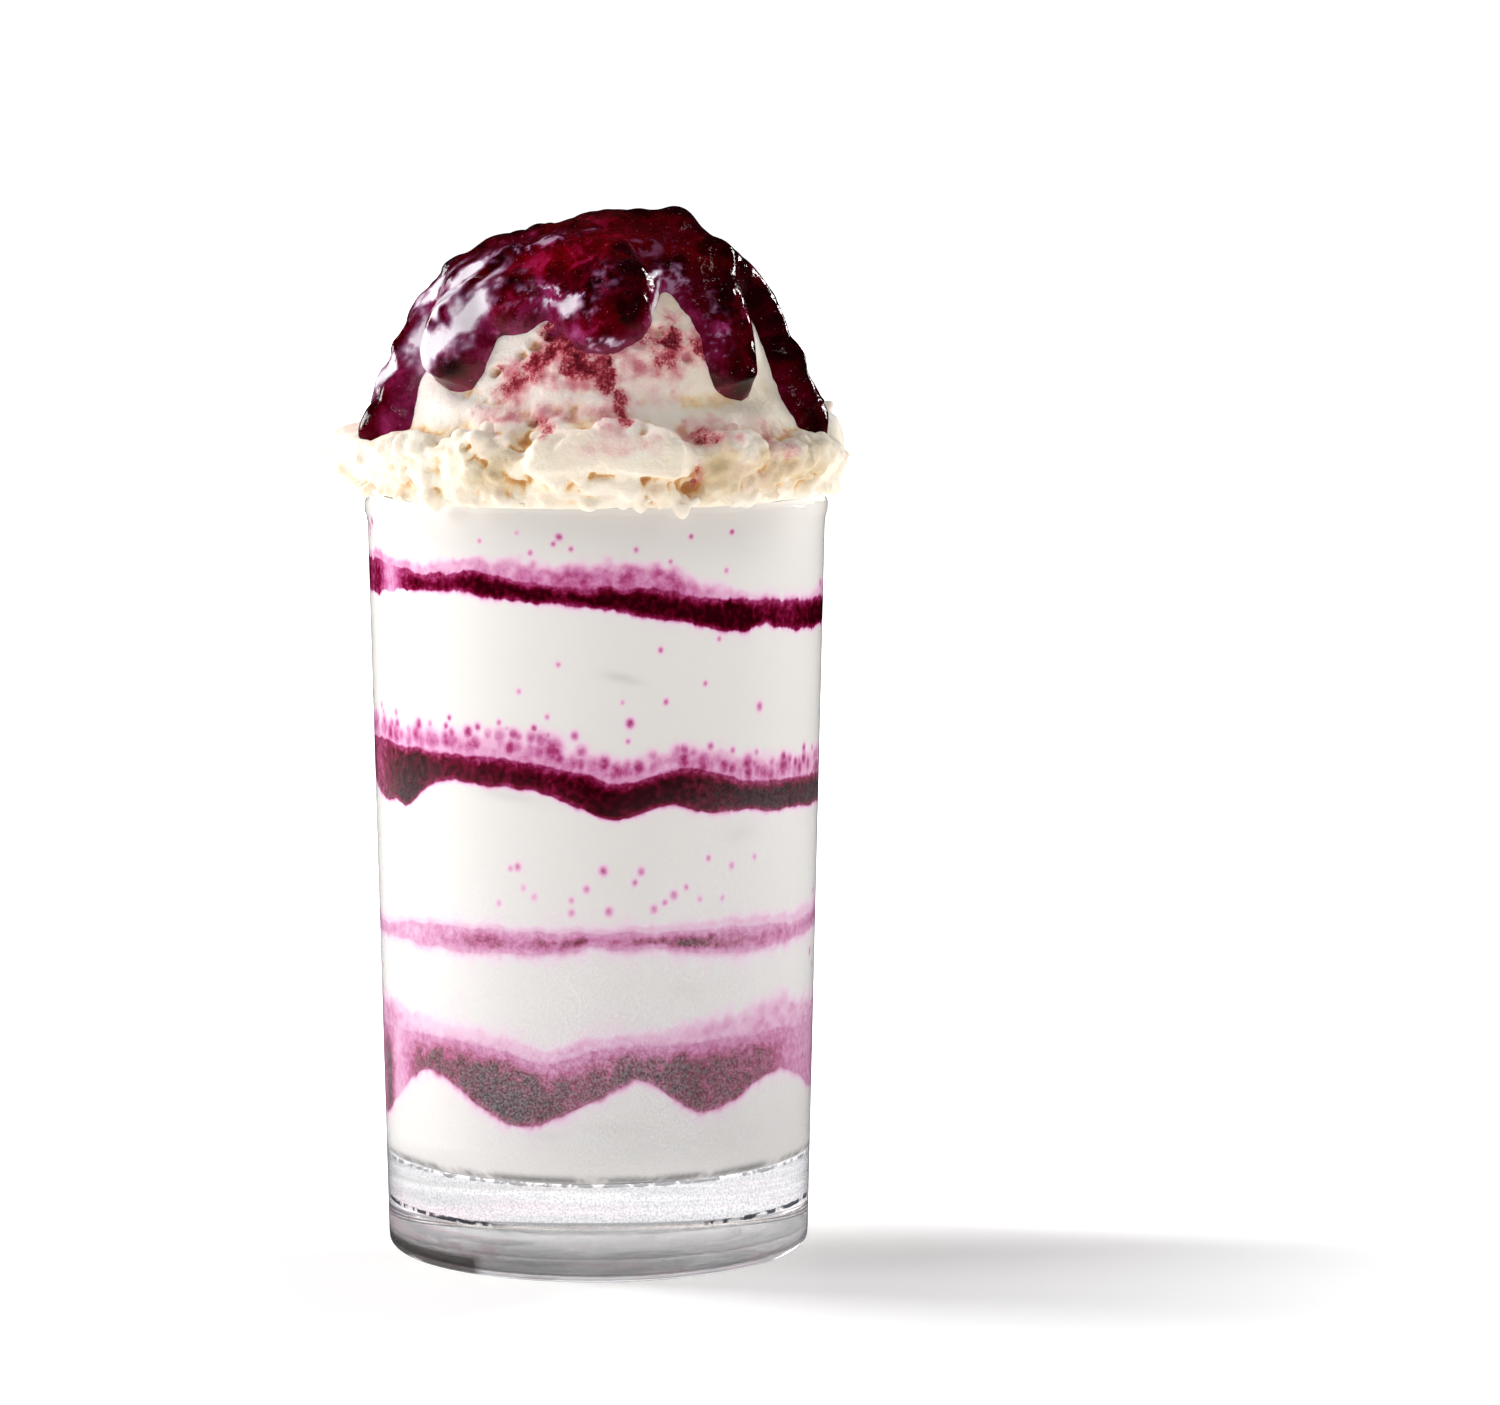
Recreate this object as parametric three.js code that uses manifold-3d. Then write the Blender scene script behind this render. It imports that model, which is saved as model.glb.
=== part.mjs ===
// A layered fruit sundae in its glass: a thick-bottomed tumbler filled with bands of white cream
// and dark fruit sauce, a big ragged scoop of ice cream on the rim, and fruit sauce poured over it.
// Millimetres, +Z up. The origin is the middle of the glass's flat foot.
// Angles run round the glass from the front: 0 is the front (-Y), +90 the right (+X).
import * as THREE from 'three';
import { mergeVertices } from 'three/addons/utils/BufferGeometryUtils.js';
import Module from 'manifold-3d';

const wasm = await Module();
wasm.setup();

// Touching pieces keep this gap.
const GAP = 0.3;
const DEGREE = Math.PI / 180;

// The tumbler.
const GLASS = {
  height: 126,
  footRadius: 34.5,
  footRound: 1.7,
  wallAtFoot: 35.2,
  wallAtBead: 38.0,
  beadRadius: 38.5,
  beadHeight: 3.6,
  wallThickness: 2.6,
  floorHeight: 15.6,
  floorRound: 5,
  segments: 64,
};

// The scoop: a squarish ball of ice cream that flares into a ragged skirt lying on the rim.
const SCOOP = {
  middle: 141,
  halfWidth: 31,
  halfHeight: 28.2,
  squareness: 2.14,
  ballTilt: 84 * DEGREE,
  skirtTop: 137,
  skirtMiddle: 134.2,
  skirtRadius: 40.2,
  footRadius: 37.4,
  segments: 84,
};

// The poured sauce: how far down the ball its coat reaches and how thick it is. Its edge is
// rounded over a few millimetres, and its tongues run into the coat with a soft corner.
const SAUCE = {
  hem: 57 * DEGREE,
  coat: 2.1,
  edge: 2.6,
  blend: 3.5,
  segments: 84,
};

// Random numbers from a seed, the same on every run.
function seeded(seed) {
  let state = seed;
  return (low, high) => {
    state = (state * 16807) % 2147483647;
    return low + ((high - low) * state) / 2147483647;
  };
}

// An angle difference in degrees, wrapped to between -180 and 180.
function turn(degrees) {
  return ((((degrees + 180) % 360) + 360) % 360) - 180;
}

function bell(distance, spread) {
  return Math.exp(-0.5 * (distance / spread) ** 2);
}

// A surface of revolution whose rings are then placed one vertex at a time.
// place(angle, row) gives the vertex of that row at that angle, and rows start and end on the axis.
function spun(rows, segments, place) {
  const blank = Array.from({ length: rows }, (_, row) => new THREE.Vector2(1, row));
  const geometry = new THREE.LatheGeometry(blank, segments);
  const position = geometry.getAttribute('position');
  for (let side = 0; side <= segments; side += 1) {
    const angle = ((side % segments) * 2 * Math.PI) / segments;
    for (let row = 0; row < rows; row += 1) {
      position.setXYZ(side * rows + row, ...place(angle, row).toArray());
    }
  }
  return geometry;
}

// A point at a radius, an angle from the front and a height.
function around(radius, angle, height) {
  return new THREE.Vector3(radius * Math.sin(angle), -radius * Math.cos(angle), height);
}

function toSolid(geometry) {
  const bare = geometry.clone();
  bare.deleteAttribute('normal');
  bare.deleteAttribute('uv');
  const merged = mergeVertices(bare, 1e-3);
  return new wasm.Manifold(
    new wasm.Mesh({
      numProp: 3,
      vertProperties: new Float32Array(merged.attributes.position.array),
      triVerts: new Uint32Array(merged.index.array),
    }),
  );
}

function toGeometry(solid) {
  const mesh = solid.getMesh();
  const geometry = new THREE.BufferGeometry();
  geometry.setAttribute('position', new THREE.BufferAttribute(new Float32Array(mesh.vertProperties), 3));
  geometry.setIndex(new THREE.BufferAttribute(new Uint32Array(mesh.triVerts), 1));
  geometry.computeVertexNormals();
  return geometry;
}

// A boolean can leave a speck of its own beside the main body, which is dropped.
function largest(solid) {
  return solid.decompose().sort((a, b) => b.volume() - a.volume())[0];
}

// The glass wall: a straight taper outside, the same taper less the wall inside.
function outerRadius(height) {
  const share = height / (GLASS.height - GLASS.beadHeight);
  return GLASS.wallAtFoot + (GLASS.wallAtBead - GLASS.wallAtFoot) * share;
}

// The radius of the glass's inside, which curves in to the floor over the last few millimetres.
function innerRadius(height) {
  const straight = outerRadius(height) - GLASS.wallThickness;
  const above = height - GLASS.floorHeight;
  if (above >= GLASS.floorRound) return straight;
  const drop = GLASS.floorRound - Math.max(above, 0);
  return straight - GLASS.floorRound + Math.sqrt(GLASS.floorRound ** 2 - drop ** 2);
}

// An arc of a circle in the profile, from one angle to another.
function arc(centreR, centreZ, radius, from, to, steps) {
  return Array.from({ length: steps + 1 }, (_, i) => {
    const a = (from + ((to - from) * i) / steps) * DEGREE;
    return [centreR + radius * Math.cos(a), centreZ + radius * Math.sin(a)];
  });
}

function glassProfile(grow = 0) {
  const { height, footRound, beadRadius, beadHeight, floorHeight, floorRound } = GLASS;
  const bead = height - beadHeight;
  const lip = (beadRadius - innerRadius(height)) / 2;
  const floorStops = [0.06, 0.3, 0.6, 1].map((share) => floorHeight + floorRound * share);
  return [
    [0, -grow],
    ...arc(outerRadius(0) - footRound + grow, footRound - grow, footRound, -90, 0, 4),
    [outerRadius(bead - 1) + grow, bead - 1],
    [beadRadius - 0.15 + grow, bead + 0.7],
    ...arc(beadRadius - lip, height - lip, lip + grow, 0, 180, 6),
    [innerRadius(bead) - grow, bead - 1],
    ...floorStops.reverse().map((z) => [innerRadius(z) - grow, z + grow]),
    [0, floorHeight + grow],
  ];
}

function glassGeometry(grow) {
  const profile = glassProfile(grow);
  return spun(profile.length, GLASS.segments, (angle, row) => {
    const [radius, height] = profile[row];
    return around(radius, angle, height);
  });
}

// Where two fillings meet at the wall: a level, a lean from left to right, and swells and dips.
// Each swell is [where round the glass in degrees, rise in mm, spread in degrees].
// The back of the glass gets a few more from a seed.
function surface(level, lean, swells, seed) {
  const random = seeded(seed);
  const back = Array.from({ length: 5 }, (_, i) => [
    112 + 34 * i + random(-8, 8),
    random(-2.6, 2.2),
    random(8, 14),
  ]);
  return (angle) =>
    [...swells, ...back].reduce(
      (height, [at, rise, spread]) => height + rise * bell(turn(angle / DEGREE - at), spread),
      level + lean * Math.sin(angle),
    );
}

// The four bands of sauce, from the bottom up.
const BANDS = [
  {
    name: 'bottom',
    under: surface(
      31,
      0,
      [[-21, -5.5, 11], [12, 2.8, 6], [31, -3.6, 9], [-52, 2.6, 7], [68, -10, 9], [-85, -8, 12]],
      11,
    ),
    over: surface(38.4, 0, [[-15, -2.7, 8], [50, 0.5, 15]], 12),
  },
  {
    name: 'lower',
    under: surface(54, 0, [[-40, -0.5, 12], [0, 1.6, 4], [16, 0.9, 4], [45, -0.9, 12]], 21),
    over: surface(57.2, 0, [[-78, -1.8, 10], [66, -1.2, 10]], 22),
  },
  {
    name: 'middle',
    under: surface(
      78.3,
      -3,
      [[-57, -5, 6], [4, -2, 7], [18, 1, 4], [-38, 1.3, 8], [-20, 1.5, 8]],
      31,
    ),
    over: surface(83, -3.2, [[5, -1.2, 6], [26, 1.9, 8], [-25, 1, 14]], 32),
  },
  {
    name: 'upper',
    under: surface(109, -3.6, [[-38, 1.2, 8], [36, -1.2, 6], [-80, -2, 10], [68, -1, 6]], 41),
    over: surface(112.6, -3.4, [[-29, 1, 8], [12, 0.9, 10]], 42),
  },
];

const FILL = { segments: 54, thinnestBand: 1.6, top: GLASS.height };

// A filling between two surfaces, out to the glass. It is a fan from the middle above and below.
function filling(under, over) {
  const floorStops = [0.08, 0.35, 1].map((share) => GLASS.floorHeight + GLASS.floorRound * share);
  const curved = under(0) < GLASS.floorHeight + GLASS.floorRound;
  const sides = curved ? floorStops.map((z) => () => z) : [under];
  sides.push(over);
  const mean = (wave) => {
    const turns = Array.from({ length: 12 }, (_, i) => wave((i * Math.PI) / 6));
    return turns.reduce((sum, height) => sum + height, 0) / turns.length;
  };
  return spun(sides.length + 2, FILL.segments, (angle, row) => {
    if (row === 0) return around(0, 0, mean(under));
    if (row === sides.length + 1) return around(0, 0, mean(over));
    const height = sides[row - 1](angle);
    return around(innerRadius(height) - GAP, angle, height);
  });
}

// A cubic curve between two points of the profile, with its direction and pull at each end.
function bend(a, aWay, b, bWay, t) {
  const h = [2 * t ** 3 - 3 * t ** 2 + 1, t ** 3 - 2 * t ** 2 + t, -2 * t ** 3 + 3 * t ** 2, t ** 3 - t ** 2];
  return [0, 1].map((i) => h[0] * a[i] + h[1] * aWay[i] + h[2] * b[i] + h[3] * bWay[i]);
}

// The ball's profile: a curve between an ellipse and a box, at an angle from straight up.
function ballPoint(tilt) {
  const n = SCOOP.squareness;
  const across = (Math.abs(Math.sin(tilt)) / SCOOP.halfWidth) ** n;
  const up = (Math.abs(Math.cos(tilt)) / SCOOP.halfHeight) ** n;
  const reach = (across + up) ** (-1 / n);
  return [reach * Math.sin(tilt), SCOOP.middle + reach * Math.cos(tilt)];
}

// Where the scoop's profile turns at an angle. The ball flares early and far at the sides, and
// stands nearly upright in front and behind.
function turningPoints(angle) {
  const right = Math.sin(angle);
  const flank = right ** 6;
  const radius = SCOOP.skirtRadius + 1.6 * right ** 2 - 0.1 * right;
  return {
    tilt: SCOOP.ballTilt - 16 * DEGREE * flank,
    neckPull: [0.3 + 2.2 * flank, -6.5 - 2 * flank],
    shoulder: [radius - 4 - 1.4 * flank, SCOOP.skirtTop + 1.6 * flank],
    edge: [radius, SCOOP.skirtMiddle - 0.8 * right],
    foot: [SCOOP.footRadius, FLAT],
  };
}

// The scoop's profile at an angle. share 0 to 1 is the ball, 1 to 2 the neck that flares from it,
// 2 to 3 the skirt's rounded edge down to the rim, and 3 to 4 the flat underside.
const FLAT = GLASS.height + GAP;
function scoopProfile(angle, share) {
  const { tilt, neckPull, shoulder, edge, foot } = turningPoints(angle);
  if (share <= 1) return ballPoint(tilt * share);
  if (share <= 2) return bend(ballPoint(tilt), neckPull, shoulder, [6, -3], share - 1);
  if (share <= 2.5) return bend(shoulder, [4.5, -1], edge, [0, -4], (share - 2) * 2);
  if (share <= 3) return bend(edge, [0, -5], foot, [-5, -5], (share - 2.5) * 2);
  return [SCOOP.footRadius * (4 - share), FLAT];
}

// The bare profile's point and outward direction at an angle.
function scoopFrame(angle, share) {
  const step = 0.004;
  const [r, z] = scoopProfile(angle, share);
  const before = scoopProfile(angle, Math.max(share - step, 0));
  const after = scoopProfile(angle, Math.min(share + step, 3));
  const along = [after[0] - before[0], after[1] - before[1]];
  const size = Math.hypot(...along);
  return { r, z, out: [-along[1] / size, along[0] / size] };
}

// The skirt's chunks in front, as [round the scoop in degrees, height, rise, half width, half height].
const CHUNKS = [
  [-66, 135, 0.4, 5, 2.6], [-47, 133, 0.7, 5, 3.6], [-27, 130.8, 1.8, 5, 3], [-28, 136, 2.1, 2.3, 1.9],
  [-12, 133.6, 1.9, 2.4, 1.8], [-2, 136, 1.8, 4.2, 1.8], [3, 131, 1.6, 7, 2.4], [16, 134.6, 2.2, 4.6, 2.6],
  [31, 130.8, 1.5, 3.2, 2.4], [36, 135.4, 1.4, 2.8, 1.9], [48, 130.6, 1, 4, 2.4], [64, 134.6, 0.5, 6, 4],
];
// The rest of the way round, the chunks come from a seed.
const random = seeded(77);
const BACK_CHUNKS = Array.from({ length: 44 }, (_, i) => [
  82 + 4.5 * i + random(-3, 3),
  random(129, 138),
  random(-1.1, 2.0),
  random(2.6, 5),
  random(1.8, 3.4),
]);
// Clefts that part the chunks, as [round the scoop in degrees, depth].
const CLEFTS = [
  [-39, 1.3], [-17.5, 2.2], [23.5, 1.9], [43, 1.2], [-76, 0.6], [78, 0.6],
  [112, 1.6], [139, 1.3], [168, 1.7], [-164, 1.2], [-133, 1.8], [-104, 1.3],
];

// How far the ice cream stands out from its bare profile: a gentle roll over the ball, and
// chunks and clefts on the skirt.
function ruggedness(angle, share) {
  const degrees = angle / DEGREE;
  const { r, z } = scoopFrame(angle, share);
  const onSkirt = bell(Math.max(0, 2.0 - share), 0.3) * bell(Math.max(0, share - 2.8), 0.08);
  const chunks = [...CHUNKS, ...BACK_CHUNKS].reduce((sum, [at, height, rise, wide, tall]) => {
    const away = turn(degrees - at) * DEGREE * r;
    return sum + rise * bell(Math.hypot(away / wide, (z - height) / tall), 1);
  }, 0);
  const clefts = CLEFTS.reduce((sum, [at, depth]) => sum + depth * bell(turn(degrees - at), 2.2), 0);
  const roll = 0.3 * Math.sin(3 * angle + 7 * share) + 0.3 * Math.sin(5 * angle - 9 * share);
  return THREE.MathUtils.smoothstep(share, 0, 0.35) * roll + (chunks - clefts) * onSkirt;
}

// The ice cream's skin at an angle, standing out by an extra amount.
function scoopSkin(angle, share, extra = 0) {
  const { r, z, out } = scoopFrame(angle, share);
  if (share > 3) return around(r, angle, z - extra);
  const outward = (share < 3 ? ruggedness(angle, share) : 0) + extra;
  return around(r + out[0] * outward, angle, Math.max(z + out[1] * outward, FLAT - extra));
}

const SCOOP_ROWS = [
  ...Array.from({ length: 12 }, (_, i) => i / 12),
  ...[1, 1.22, 1.45, 1.68, 1.86],
  ...[2, 2.15, 2.3, 2.45, 2.6, 2.75, 2.88, 3],
  4,
];

function scoopGeometry(rows = SCOOP_ROWS, segments = SCOOP.segments, extra = 0) {
  // The rows run down from the top, so they are taken from the last to face outwards.
  const upward = [...rows].reverse();
  return spun(upward.length, segments, (angle, row) => {
    const onAxis = row === 0 || row === upward.length - 1;
    const skin = scoopSkin(angle, upward[row], extra);
    return onAxis ? around(0, 0, scoopSkin(0, upward[row], extra).z) : skin;
  });
}

// The share of the profile at which it comes down to a height.
function shareAt(angle, height) {
  let [low, high] = [0, 3];
  for (let i = 0; i < 24; i += 1) {
    const middle = (low + high) / 2;
    if (scoopProfile(angle, middle)[1] > height) low = middle;
    else high = middle;
  }
  return low;
}

// Tongues of sauce that run down from the cap: where each starts and ends round the ball in
// degrees, the height of its tip, its width in mm, and how thick its head is.
const TONGUES = [
  { from: -84, to: -77, tip: 136.8, wide: 9, head: 2.7 },
  { from: -52, to: -53, tip: 143.6, wide: 17, head: 3.9 },
  { from: -32, to: -31, tip: 152.2, wide: 14, head: 2.4 },
  { from: 1, to: 4, tip: 150.2, wide: 16, head: 3.2 },
  { from: 42, to: 47.5, tip: 142.4, wide: 12.5, head: 3.6 },
  { from: 78, to: 82, tip: 137, wide: 8, head: 2.6 },
  { from: 112, to: 119, tip: 147.5, wide: 11, head: 3.2 },
  { from: 150, to: 146, tip: 140.5, wide: 12, head: 3.5 },
  { from: 184, to: 188, tip: 149, wide: 14, head: 3.3 },
  { from: 226, to: 223, tip: 139.2, wide: 10, head: 3.3 },
  { from: 256, to: 252, tip: 147, wide: 10, head: 3.0 },
];

// Fruit under the sauce, as [round the ball in degrees, degrees down from the top, rise, width].
const FRUIT = [
  [68, 27, 4.6, 3.2], [62, 38, 1.4, 3.4], [60, 50, 1.5, 3.4], [20, 12, 0.5, 5], [-78, 44, 1.9, 3.4],
  [-62, 52, 1.5, 3.6], [-40, 60, 1.3, 3.6], [-84, 62, 1.5, 3.2], [-86, 24, 0.9, 3.2], [8, 52, 2.2, 3.8],
  [-25, 30, 0.7, 5], [84, 44, 1.2, 3], [88, 56, 1.3, 3], [104, 62, 1.4, 3.4], [30, 40, 0.8, 4],
  [130, 35, 1.5, 4.4], [165, 55, 1.7, 4], [205, 30, 1.2, 4.6], [215, 60, 1.6, 3.8], [246, 46, 1.4, 4],
  [180, 14, 0.5, 5],
];

// How far down the scoop a place lies, in mm along the profile: the ball in front is BALL_SPAN
// long and the neck NECK_SPAN.
const BALL_SPAN = 42.5;
const NECK_SPAN = 13;
function downTo(angle, share) {
  const { tilt } = turningPoints(angle);
  const ball = (BALL_SPAN * tilt) / SCOOP.ballTilt;
  return share <= 1 ? share * ball : ball + (share - 1) * NECK_SPAN;
}

// The larger of two values, rounded off where they are close.
function roundedMax(a, b, blend) {
  const h = Math.max(blend - Math.abs(a - b), 0) / blend;
  return Math.max(a, b) + (h * h * blend) / 4;
}

// Each tongue with how far down its rounded end is centred.
const RUNS = TONGUES.map((tongue) => {
  const at = tongue.to * DEGREE;
  return { ...tongue, centre: downTo(at, shareAt(at, tongue.tip)) - tongue.wide / 2 };
});

// How far inside the sauce's outline a place lies, in mm: positive under sauce, negative outside.
function insideSauce(angle, share, r) {
  const degrees = angle / DEGREE;
  const down = downTo(angle, share);
  const notch = 4 * bell(turn(degrees - 31), 9);
  const hem = (BALL_SPAN * SAUCE.hem) / SCOOP.ballTilt + Math.sin(4 * angle + 1) - notch;
  return RUNS.reduce((inside, tongue) => {
    const run = THREE.MathUtils.clamp((down - 15) / (tongue.centre - 15), 0, 1);
    const side = turn(degrees - tongue.from - (tongue.to - tongue.from) * run) * DEGREE * r;
    const past = Math.max(down - tongue.centre, 0);
    return roundedMax(inside, tongue.wide / 2 - Math.hypot(side, past), SAUCE.blend);
  }, hem - down);
}

// The sauce's thickness: a coat with a rounded edge, thicker at the heads and over the fruit.
function sauceThickness(angle, share) {
  const degrees = angle / DEGREE;
  const down = downTo(angle, share);
  const { r } = scoopFrame(angle, share);
  const heads = RUNS.reduce((most, tongue) => {
    const side = turn(degrees - tongue.to) * DEGREE * r;
    const spread = tongue.wide / 2;
    const swell = (tongue.head - SAUCE.coat) * bell(Math.hypot(side, down - tongue.centre), spread);
    return Math.max(most, swell);
  }, 0);
  const fruit = FRUIT.reduce((sum, [at, tilt, rise, wide]) => {
    const side = turn(degrees - at) * DEGREE * r;
    return sum + rise * bell(Math.hypot(side, down - (BALL_SPAN * tilt * DEGREE) / SCOOP.ballTilt), wide);
  }, 0);
  const edge = THREE.MathUtils.clamp(insideSauce(angle, share, r) / SAUCE.edge, -1, 1);
  const rounding = edge > 0 ? Math.sqrt(1 - (1 - edge) ** 2) : edge;
  return (SAUCE.coat + heads + fruit) * rounding;
}

// The sauce is a thicker skin than the ice cream's where there is sauce and lies inside it
// elsewhere. What stands out past the ice cream, with its gap, is left.
function sauceSolid() {
  const lowest = 2.2;
  const closeRows = Array.from({ length: 22 }, (_, i) => 0.45 + ((lowest - 0.45) * i) / 21);
  const rows = [0, 0.13, 0.26, 0.36, ...closeRows].reverse();
  const lump = spun(rows.length + 1, SAUCE.segments, (angle, row) => {
    if (row === 0) return around(0, 0, SCOOP.middle - 4);
    if (row === rows.length) return around(0, 0, scoopSkin(0, 0, sauceThickness(0, 0)).z);
    return scoopSkin(angle, rows[row - 1], sauceThickness(angle, rows[row - 1]));
  });
  const core = scoopGeometry(SCOOP_ROWS, SCOOP.segments, GAP);
  return largest(toSolid(lump).subtract(toSolid(core)));
}

// Finishes.
function finish(color, roughness, extra = {}) {
  return new THREE.MeshStandardMaterial({ color, roughness, metalness: 0, ...extra });
}
const clearGlass = finish('#e8eef0', 0.04, { transparent: true, opacity: 0.35 });
const whiteCream = finish('#efece6', 0.55);
const bandSauce = finish('#4a0a26', 0.35);
const rippledIce = finish('#f1e3d2', 0.6);
const pouredSauce = finish('#560a2a', 0.12);

const sundae = new THREE.Group();
function add(name, geometry, material) {
  const mesh = new THREE.Mesh(geometry, material);
  mesh.name = name;
  sundae.add(mesh);
}

add('glass', glassGeometry(0), clearGlass);

// The fillings from the floor of the glass to its rim: cream, then sauce and cream by turns.
const CREAM_NAMES = ['cream_bottom', 'cream_lower', 'cream_middle', 'cream_upper', 'cream_top'];
let under = () => GLASS.floorHeight + GAP;
BANDS.forEach((band, i) => {
  const top = band.over;
  const foot = (angle) => Math.min(band.under(angle), top(angle) - FILL.thinnestBand);
  add(CREAM_NAMES[i], filling(under, foot), whiteCream);
  add(`sauce_${band.name}`, filling((angle) => foot(angle) + GAP, top), bandSauce);
  under = (angle) => top(angle) + GAP;
});
add(CREAM_NAMES[4], filling(under, () => FILL.top), whiteCream);

add('scoop', scoopGeometry(), rippledIce);
add('sauce_topping', toGeometry(sauceSolid()), pouredSauce);

export default sundae;
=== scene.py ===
# %% [markdown]
# # A layered fruit sundae
# A thick tumbler holds bands of white cream and dark fruit sauce. A ragged scoop of rippled ice
# cream stands on its rim, and glossy fruit sauce runs down over it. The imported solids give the
# true sizes and stay as they are. Here each of them gets the surface and the finish of the real
# thing, made from whole numpy arrays and turned into meshes.
#
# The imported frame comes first, because every piece is fitted to it.

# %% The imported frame
from functools import partial

import bpy
import numpy as np
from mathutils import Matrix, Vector


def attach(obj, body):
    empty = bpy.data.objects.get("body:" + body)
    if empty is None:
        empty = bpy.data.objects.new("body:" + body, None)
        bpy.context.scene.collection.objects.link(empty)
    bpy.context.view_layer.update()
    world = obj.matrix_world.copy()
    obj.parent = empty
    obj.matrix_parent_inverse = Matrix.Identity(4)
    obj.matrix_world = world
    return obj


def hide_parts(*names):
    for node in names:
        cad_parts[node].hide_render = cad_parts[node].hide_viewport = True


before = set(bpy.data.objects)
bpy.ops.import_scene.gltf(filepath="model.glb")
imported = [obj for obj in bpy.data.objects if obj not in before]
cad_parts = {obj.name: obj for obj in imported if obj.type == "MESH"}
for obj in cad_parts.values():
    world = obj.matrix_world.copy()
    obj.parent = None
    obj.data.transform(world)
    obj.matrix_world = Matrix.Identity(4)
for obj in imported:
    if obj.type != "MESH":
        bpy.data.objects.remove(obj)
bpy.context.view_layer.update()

# %% [markdown]
# ## From arrays to meshes
# Food is easier to think of in millimetres and in angles from the front, while Blender's scene is
# in metres. So every function below works in millimetres, and only this one turns them to metres.
# Blender could also be given the points one by one, but `foreach_set` hands over a whole array
# at once, which is hundreds of times quicker.

# %% One mesh from points and faces
MM = 0.001


def new_piece(name, points, *face_sets):
    """A mesh object from points in millimetres and from arrays of faces, three or four corners each."""
    mesh = bpy.data.meshes.new(name)
    corners = np.concatenate([faces.ravel() for faces in face_sets]).astype(np.int32)
    sizes = np.concatenate([np.full(len(faces), faces.shape[1]) for faces in face_sets])
    starts = np.concatenate([[0], np.cumsum(sizes)[:-1]]).astype(np.int32)
    mesh.vertices.add(len(points))
    mesh.vertices.foreach_set("co", (np.asarray(points, float) * MM).ravel())
    mesh.loops.add(len(corners))
    mesh.loops.foreach_set("vertex_index", corners)
    mesh.polygons.add(len(starts))
    mesh.polygons.foreach_set("loop_start", starts)
    mesh.update(calc_edges=True)
    mesh.validate()
    mesh.polygons.foreach_set("use_smooth", np.ones(len(mesh.polygons), bool))
    piece = bpy.data.objects.new(name, mesh)
    bpy.context.scene.collection.objects.link(piece)
    return piece


def points_of(piece):
    """The piece's points in millimetres."""
    flat = np.empty(len(piece.data.vertices) * 3, np.float32)
    piece.data.vertices.foreach_get("co", flat)
    return flat.reshape(-1, 3).astype(float) / MM


def normals_of(piece):
    """The piece's outward directions at its points."""
    flat = np.empty(len(piece.data.vertices) * 3, np.float32)
    piece.data.vertex_normals.foreach_get("vector", flat)
    return flat.reshape(-1, 3).astype(float)


def move_points(piece, points):
    """Puts the piece's points, in millimetres, where the array says."""
    piece.data.vertices.foreach_set("co", (points * MM).astype(np.float32).ravel())
    piece.data.update()


def paint(piece, name, values):
    """Keeps one number for each point of the piece, for its material to read by name."""
    layer = piece.data.attributes.new(name, "FLOAT", "POINT")
    layer.data.foreach_set("value", np.clip(values, 0, 1).astype(np.float32))


def around(radius, angle, height):
    """Points at a radius, an angle in radians from the front (-Y) towards the right, and a height."""
    radius, angle, height = np.broadcast_arrays(radius, angle, height)
    return np.stack([radius * np.sin(angle), -radius * np.cos(angle), height], -1)


# %% [markdown]
# A surface of revolution, plain or uneven, is a grid of rings from its foot to its top. Its first
# and last ring shrink to one point each, which closes it without a seam.

# %% Rings joined into a closed skin
def ringed(name, rings, foot, top):
    """A closed piece from rings of points, listed from the foot up, and its two end points.

    Each ring has the same number of points. A point is joined to the next one round and to the
    one above, and the end rings are joined to the end points by triangles."""
    count, around_count = rings.shape[:2]
    at = np.arange(count * around_count).reshape(count, around_count)
    after = np.roll(at, -1, axis=1)
    sides = np.stack([at[:-1], after[:-1], after[1:], at[1:]], -1).reshape(-1, 4)
    low, high = at.size, at.size + 1
    fan_foot = np.stack([after[0], at[0], np.full(around_count, low)], -1)
    fan_top = np.stack([at[-1], after[-1], np.full(around_count, high)], -1)
    points = np.concatenate([rings.reshape(-1, 3), [foot], [top]])
    return new_piece(name, points, sides, np.concatenate([fan_foot, fan_top]))


# %% [markdown]
# ## Repeatable roughness
# Ice cream, cream and jam are uneven at many sizes at once. Blender has noise textures for this,
# but noise worked out here can also move the mesh itself, so that the crumbs are real shapes.
# Each whole-number cell of space gets its own random direction from a hash of its position, and
# the values in between are blended smoothly. The same seed gives the same food every time.

# %% Smooth noise and grains
directions = np.random.default_rng(5).normal(size=(256, 3))
directions /= np.linalg.norm(directions, axis=1, keepdims=True)
CORNERS = np.array(list(np.ndindex(2, 2, 2)), float)
NEIGHBOURS = np.array(list(np.ndindex(3, 3, 3)), float) - 1


def cell_number(cell, seed):
    """A scrambled whole number for each cell: its three places multiplied, mixed and shifted."""
    c = cell.astype(np.int64).astype(np.uint32)
    x, y, z = c[..., 0], c[..., 1], c[..., 2]
    mixed = x * np.uint32(0x9E3779B1) ^ y * np.uint32(0x85EBCA77) ^ z * np.uint32(0xC2B2AE3D)
    mixed = mixed + np.uint32((seed * 0x27D4EB2F) % 2**32)
    mixed = (mixed ^ (mixed >> np.uint32(15))) * np.uint32(0x2C1B3C6D)
    mixed = (mixed ^ (mixed >> np.uint32(12))) * np.uint32(0x297A2D39)
    return mixed ^ (mixed >> np.uint32(15))


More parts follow.
